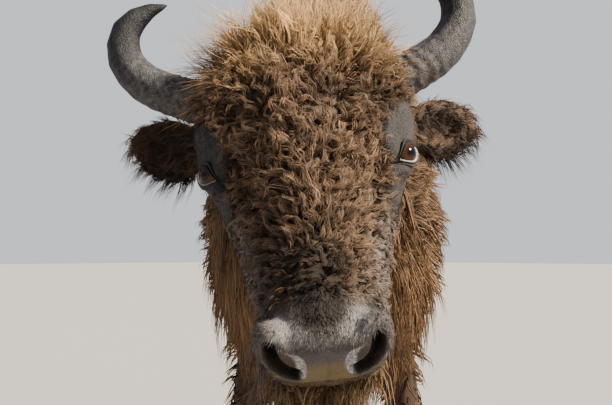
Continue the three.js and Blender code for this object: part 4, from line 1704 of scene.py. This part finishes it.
def tail_tuft(at: Places) -> Array:
    """The long hair at the tail's end."""
    return at.on_tail() * ramp(at.up, 0.93, 0.86) * ramp(at.up, 0.60, 0.68)


CURLS = Lock(
    length=0.029, radius=0.00058, steps=7, strands=6, spread=0.0036, gather=0.72, curl=0.0046,
    turns=1.2, rise=1.0, full_depth=0.018, stray=0.40, swirl=1.0, swirl_scale=0.055, order=0.5,
    variety=0.34, root_shade=0.15, tip_tone_and_highlight=2.2,
)
SHORT_CURLS = Lock(
    length=0.024, radius=0.00050, steps=5, strands=6, spread=0.0032, gather=0.70, curl=0.0032,
    turns=1.0, rise=1.1, full_depth=0.014, stray=0.32, swirl=0.6, swirl_scale=0.05, order=0.5,
    variety=0.32, root_shade=0.17, tip_tone_and_highlight=2.1,
)
PLUME = Lock(
    length=0.100, radius=0.00055, steps=5, strands=4, spread=0.009, gather=0.1, curl=0.0050,
    turns=1.2, rise=0.95, full_depth=0.050, stray=0.25, swirl=0.28, swirl_scale=0.09, order=0.2,
    root_shade=0.35, tip_tone_and_highlight=1.35,
)
CHEEK_LOCK = Lock(
    length=0.046, radius=0.00068, steps=4, strands=6, spread=0.006, gather=0.65, curl=0.0042,
    turns=1.1, rise=0.9, full_depth=0.015, stray=0.25, swirl=0.4, swirl_scale=0.06, order=0.3,
    root_shade=0.4, tip_tone_and_highlight=1.5,
)
DOWN = Lock(
    length=0.0135, radius=0.00028, steps=2, strands=3, spread=0.0050, gather=0.2, rise=0.5,
    full_depth=0.0036, stray=0.22, swirl=0.25, variety=0.36, root_shade=0.7, tip_tone_and_highlight=1.6,
)
BRISTLE = Lock(
    length=0.026, radius=0.00055, steps=3, strands=4, spread=0.003, gather=0.7, curl=0.001,
    rise=1.6, sag=0.5, stray=0.3, variety=0.5, root_shade=0.35, tip_tone_and_highlight=2.2,
)
EAR_LOCK = Lock(
    length=0.020, radius=0.00042, steps=3, strands=4, spread=0.004, gather=0.4, rise=1.35,
    stray=0.35, root_shade=0.6, tip_tone_and_highlight=1.7,
)
FRINGE = Lock(
    length=0.036, radius=0.00042, steps=4, strands=4, spread=0.005, gather=0.4, curl=0.002,
    rise=1.0, sag=0.75, stray=0.3, root_shade=0.6, tip_tone_and_highlight=2.2,
)
BEARD_LOCK = Lock(
    length=0.100, radius=0.0011, steps=4, strands=4, spread=0.014, gather=0.5, curl=0.006,
    turns=0.9, rise=1.2, sag=0.45, full_depth=0.018, stray=0.40, root_shade=0.45, tip_tone_and_highlight=1.5,
)
APRON_LOCK = Lock(
    length=0.120, radius=0.0021, steps=3, strands=4, spread=0.018, gather=0.55, curl=0.006,
    turns=0.8, rise=1.0, sag=0.6, stray=0.15, root_shade=0.35, tip_tone_and_highlight=1.5,
)
NECK_LOCK = Lock(
    length=0.072, radius=0.0012, steps=4, strands=6, spread=0.015, gather=0.72, curl=0.007,
    turns=1.1, rise=0.95, stray=0.26, swirl=0.4, swirl_scale=0.14, order=0.3, root_shade=0.5,
    tip_tone_and_highlight=1.4,
)
HUMP_LOCK = Lock(
    length=0.070, radius=0.0021, steps=3, strands=3, spread=0.014, gather=0.5, curl=0.006,
    turns=0.8, rise=0.95, stray=0.22, swirl=0.32, swirl_scale=0.2, order=0.2, root_shade=0.4,
    tip_tone_and_highlight=1.45,
)
TRUNK_LOCK = Lock(
    length=0.055, radius=0.0021, steps=2, strands=3, spread=0.014, gather=0.4, rise=0.6, stray=0.14,
    swirl=0.22, swirl_scale=0.25, root_shade=0.75, tip_tone_and_highlight=1.2,
)
LEG_LOCK = Lock(
    length=0.024, radius=0.0013, steps=2, strands=4, spread=0.008, gather=0.3, rise=0.6, stray=0.15,
    root_shade=0.7, tip_tone_and_highlight=1.35,
)
TAIL_LOCK = Lock(
    length=0.180, radius=0.0013, steps=4, strands=4, spread=0.010, gather=0.5, curl=0.004, rise=1.0,
    sag=0.2, stray=0.1, swirl=0.1, root_shade=0.7, tip_tone_and_highlight=1.5,
)

REGIONS = [
    CoatRegion("forehead_left", 800, CURLS, forehead_left),
    CoatRegion("forehead_right", 800, CURLS, forehead_right),
    CoatRegion("bridge", 1000, SHORT_CURLS, bridge),
    CoatRegion("crown", 1120, PLUME, Places.on_crown),
    CoatRegion("cheeks", 780, CHEEK_LOCK, cheeks),
    CoatRegion("face_down", 5000, DOWN, face_down),
    CoatRegion("chin", 560, BRISTLE, chin),
    CoatRegion("ears", 850, EAR_LOCK, ears),
    CoatRegion("ear_fringe", 340, FRINGE, ear_fringe),
    CoatRegion("beard", 900, BEARD_LOCK, beard),
    CoatRegion("neck", 800, NECK_LOCK, neck_coat),
    CoatRegion("apron", 900, APRON_LOCK, apron),
    CoatRegion("hump", 1600, HUMP_LOCK, hump_coat),
    CoatRegion("trunk", 2480, TRUNK_LOCK, trunk_coat),
    CoatRegion("legs", 900, LEG_LOCK, Places.on_leg),
    CoatRegion("tail", 120, LEG_LOCK, tail_coat),
    CoatRegion("tail_tuft", 160, TAIL_LOCK, tail_tuft),
]


# ---------------------------------------------------------------- eyes, horns and hooves


@dataclass
class Eyeball:
    """A glossy eyeball with a wide brown iris, a level pupil and a slight bulge over them."""

    side: str
    iris_reach: float = 0.84  # radians
    bulge: float = 0.0012
    pupil: tuple[float, float] = (0.46, 0.27)

    def build(self) -> bpy.types.Object:
        """Makes the piece."""
        axis = Vector(HEAD.direction(mirrored(EYE_AXIS, self.side)))
        centre = Vector(HEAD.to_model(mirrored(EYE_CENTRE, self.side)))
        place = Matrix.Translation(centre) @ axis.to_track_quat("Z", "X").to_matrix().to_4x4()
        bm = bmesh.new()
        bmesh.ops.create_uvsphere(bm, u_segments=96, v_segments=72, radius=EYE_RADIUS, matrix=place)
        mesh = bpy.data.meshes.new(f"eyeball_{self.side}")
        bm.to_mesh(mesh)
        bm.free()
        places = corner_places(mesh)
        along, across, _ = Lids(self.side).angles(HEAD.to_head(places))
        off = np.arccos(np.clip(unit(places - np.array(centre)) @ np.array(axis), -1, 1))
        swell = self.bulge * ramp(off, self.iris_reach * 1.1, 0.0)
        move_corners(mesh, places + unit(places - np.array(centre)) * swell[:, None])
        paint(mesh, "Tone", self.colours(along, across, off, places))
        obj = finish_piece(link(bpy.data.objects.new(mesh.name, mesh)), EYEBALL.material())
        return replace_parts(obj, f"eye_{self.side}")

    def colours(self, along: Array, across: Array, off: Array, places: Array) -> Array:
        """The eyeball's colours: pupil, iris, its dark rim and the white."""
        spin = np.arctan2(across, along)
        streak = 1.0 + 0.25 * np.sin(spin * 46) * np.sin(spin * 17 + 1) + 0.15 * waves(places, 0.004, 31)
        iris = Shade.IRIS.rgb * np.clip(streak, 0.4, 1.7)[:, None]
        iris = iris * (0.55 + 0.8 * ramp(off, 0.25, self.iris_reach))[:, None]
        hole = np.sqrt((along / self.pupil[0]) ** 2 + (across / self.pupil[1]) ** 2)
        return layered(
            iris,
            (Shade.PUPIL.rgb, ramp(hole, 1.08, 0.92)),
            (Shade.IRIS_RIM.rgb, ramp(off, self.iris_reach - 0.10, self.iris_reach)),
            (Shade.EYE_WHITE.rgb, ramp(off, self.iris_reach + 0.06, self.iris_reach + 0.16)),
        )


@dataclass
class Horn:
    """A rough grey horn, ringed and flaking at the root and dark at the tip."""

    side: str
    grain: float = 0.0024
    ring_height: float = 0.0008
    rings: int = 15

    def line(self) -> Array:
        """The horn's middle line, in the head's frame."""
        half = math.sqrt(0.5)
        reach = HORN_REACH[self.side]
        points = []
        for out, rise in HORN_LINE:
            points.append((out * reach, (rise + HORN_SETBACK) * half, (rise - HORN_SETBACK) * half))
        return mirrored(np.array(points), self.side)

    def build(self) -> bpy.types.Object:
        """Makes the piece."""
        node = f"horn_{self.side}"
        mesh = remeshed([node], self.grain, rounds=14)
        mesh.name = f"horn_shell_{self.side}"
        places = corner_places(mesh)
        share, _ = segment_place(HEAD.to_head(places), self.line())
        rings = np.sin(share * self.rings * 2 * math.pi + 1.1 * waves(places, 0.05, 41))
        flakes = np.clip(waves(places, 0.010, 42), -0.5, 2)
        rise = self.ring_height * (1.2 + rings * ramp(share, 0.55, 0.1) + flakes * ramp(share, 0.4, 0.0))
        move_corners(mesh, places + corner_normals(mesh) * rise[:, None])
        paint(mesh, "Tone", self.colours(places, share, rings, flakes))
        obj = finish_piece(link(bpy.data.objects.new(mesh.name, mesh)), KERATIN.material())
        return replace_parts(obj, node)

    @staticmethod
    def colours(places: Array, share: Array, rings: Array, flakes: Array) -> Array:
        """The horn's colours from root to tip."""
        crack = ramp(waves(places, 0.010, 43), 1.15, 1.5) * ramp(share, 0.5, 0.2)
        colour = layered(
            np.tile(Shade.HORN.rgb, (len(places), 1)),
            (Shade.HORN_SCURF.rgb, ramp(share, 0.26, 0.02) * (0.55 + 0.35 * flakes)),
            (Shade.HORN_TIP.rgb, ramp(share, 0.34, 0.72)),
            (Shade.HORN_CRACK.rgb, 0.85 * crack),
        )
        # Patchy lighter and darker tone; near the root also lighter on the rings' ridges and darker in the
        # grooves between them.
        ringed_mottle = 1.0 + 0.24 * waves(places, 0.012, 44) + 0.26 * waves(places, 0.0035, 45)
        ringed_mottle = ringed_mottle + 0.12 * rings * ramp(share, 0.6, 0.2)
        return colour * np.clip(ringed_mottle, 0.3, 2.0)[:, None]


@dataclass
class Hooves:
    """The eight claws of the hooves and the eight dewclaws."""

    grain: float = 0.0035
    dewclaw_grain: float = 0.0021
    band: float = 0.009  # from one growth ring to the next
    ring_height: float = 0.0004

    def build(self) -> None:
        """Makes a worn claw for each one of the frame's."""
        for node in sorted(name for name in NODES if "hoof" in name or "dewclaw" in name):
            grain = self.grain if "hoof" in node else self.dewclaw_grain
            mesh = remeshed([node], grain, rounds=6)
            mesh.name = f"{node}_shell"
            places = corner_places(mesh)
            height = places[:, 2]
            bands = np.sin(height * 2 * math.pi / self.band + 0.6 * waves(places, 0.05, 51))
            worn = self.ring_height * bands * ramp(height, 0.006, 0.014)
            move_corners(mesh, places + corner_normals(mesh) * worn[:, None])
            tone = np.tile(Shade.CLAW.rgb, (len(places), 1))
            tone = mix(tone, Shade.CLAW_EDGE.rgb, ramp(height, 0.030, 0.0) * 0.6)
            paint(mesh, "Tone", tone * (1.0 + 0.08 * bands)[:, None])
            obj = finish_piece(link(bpy.data.objects.new(mesh.name, mesh)), HOOF.material())
            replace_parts(obj, node)


# ---------------------------------------------------------------- the studio


@dataclass
class Studio:
    """The camera, a pale floor and soft lights."""

    image: tuple[int, int] = (612, 405)
    focal_pixels: float = 600.0
    sensor: float = 36.0
    step_back: tuple[float, float, float] = (-0.001118, -0.802937, -0.113910)  # from the head's origin
    tilt_up: float = math.radians(4.24)
    floor_reach: float = 40.0
    sun_from: tuple[float, float, float] = (0.84, -0.32, 0.66)
    sun_strength: float = 21.0
    sun_width: float = math.radians(10)
    sun_shade: tuple[float, float, float] = (1.0, 0.85, 0.66)
    sky_shade: tuple[float, float, float] = (0.74, 0.84, 1.0)
    sky_strength: float = 0.60
    backdrop_shade: tuple[float, float, float] = (0.86, 0.89, 0.93)
    backdrop_strength: float = 0.95

    def build(self) -> None:
        """Sets all of it up."""
        self.camera()
        self.floor()
        self.world()
        self.sun(Vector(self.sun_from))

    def camera(self) -> None:
        """Places the camera in front of the head."""
        data = bpy.data.cameras.new("camera")
        data.sensor_width = self.sensor
        data.lens = self.focal_pixels * self.sensor / self.image[0]
        data.clip_start = 0.05
        obj = link(bpy.data.objects.new("camera", data))
        obj.location = Vector(HEAD.origin) + Vector(self.step_back)
        obj.rotation_euler = (math.pi / 2 + self.tilt_up, 0.0, 0.0)
        bpy.context.scene.camera = obj

    def floor(self) -> None:
        """Lays the floor."""
        bm = bmesh.new()
        bmesh.ops.create_circle(bm, cap_ends=True, segments=64, radius=self.floor_reach)
        mesh = bpy.data.meshes.new("floor")
        bm.to_mesh(mesh)
        bm.free()
        paint(mesh, "Tone", np.tile(Shade.FLOOR.rgb, (len(mesh.vertices), 1)))
        obj = link(bpy.data.objects.new("floor", mesh))
        obj.data.materials.append(FLOOR.material())

    def world(self) -> None:
        """Lights the surroundings evenly, and shows the camera a paler backdrop."""
        world = bpy.data.worlds.new("studio")
        world.use_nodes = True
        nodes = Nodes(world.node_tree)
        output = nodes.add("ShaderNodeOutputWorld")
        either = nodes.add("ShaderNodeMixShader")
        nodes.join(nodes.add("ShaderNodeLightPath").outputs["Is Camera Ray"], either.inputs["Fac"])
        looks = ((self.sky_shade, self.sky_strength), (self.backdrop_shade, self.backdrop_strength))
        for socket, (shade, strength) in zip(either.inputs[1:], looks):
            light = nodes.add("ShaderNodeBackground")
            light.inputs["Color"].default_value = (*shade, 1.0)
            light.inputs["Strength"].default_value = strength
            nodes.join(light.outputs["Background"], socket)
        nodes.join(either.outputs["Shader"], output.inputs["Surface"])
        bpy.context.scene.world = world

    def sun(self, source: Vector) -> None:
        """Hangs the one warm, soft lamp, far off in the direction `source`."""
        data = bpy.data.lights.new("sun", "SUN")
        data.energy = self.sun_strength
        data.angle = self.sun_width
        data.color = self.sun_shade
        obj = link(bpy.data.objects.new("sun", data))
        obj.location = source * 6.0
        obj.rotation_euler = source.to_track_quat("Z", "Y").to_euler()


def main() -> None:
    """Builds the studio and every piece, in order."""
    logging.basicConfig(level=logging.INFO, format="%(relativeCreated)6d %(message)s")
    Studio().build()
    skin = Skin().build()
    for side in SIDES:
        Eyeball(side).build()
        Horn(side).build()
    Hooves().build()
    coat = Coat(SkinSurface(skin))
    grown = [coat.grow(region, SEED + 10 * number) for number, region in enumerate(REGIONS)]
    LOG.info("coat: %d faces", sum(len(piece.data.polygons) for piece in grown))


if __name__ == "__main__":
    main()
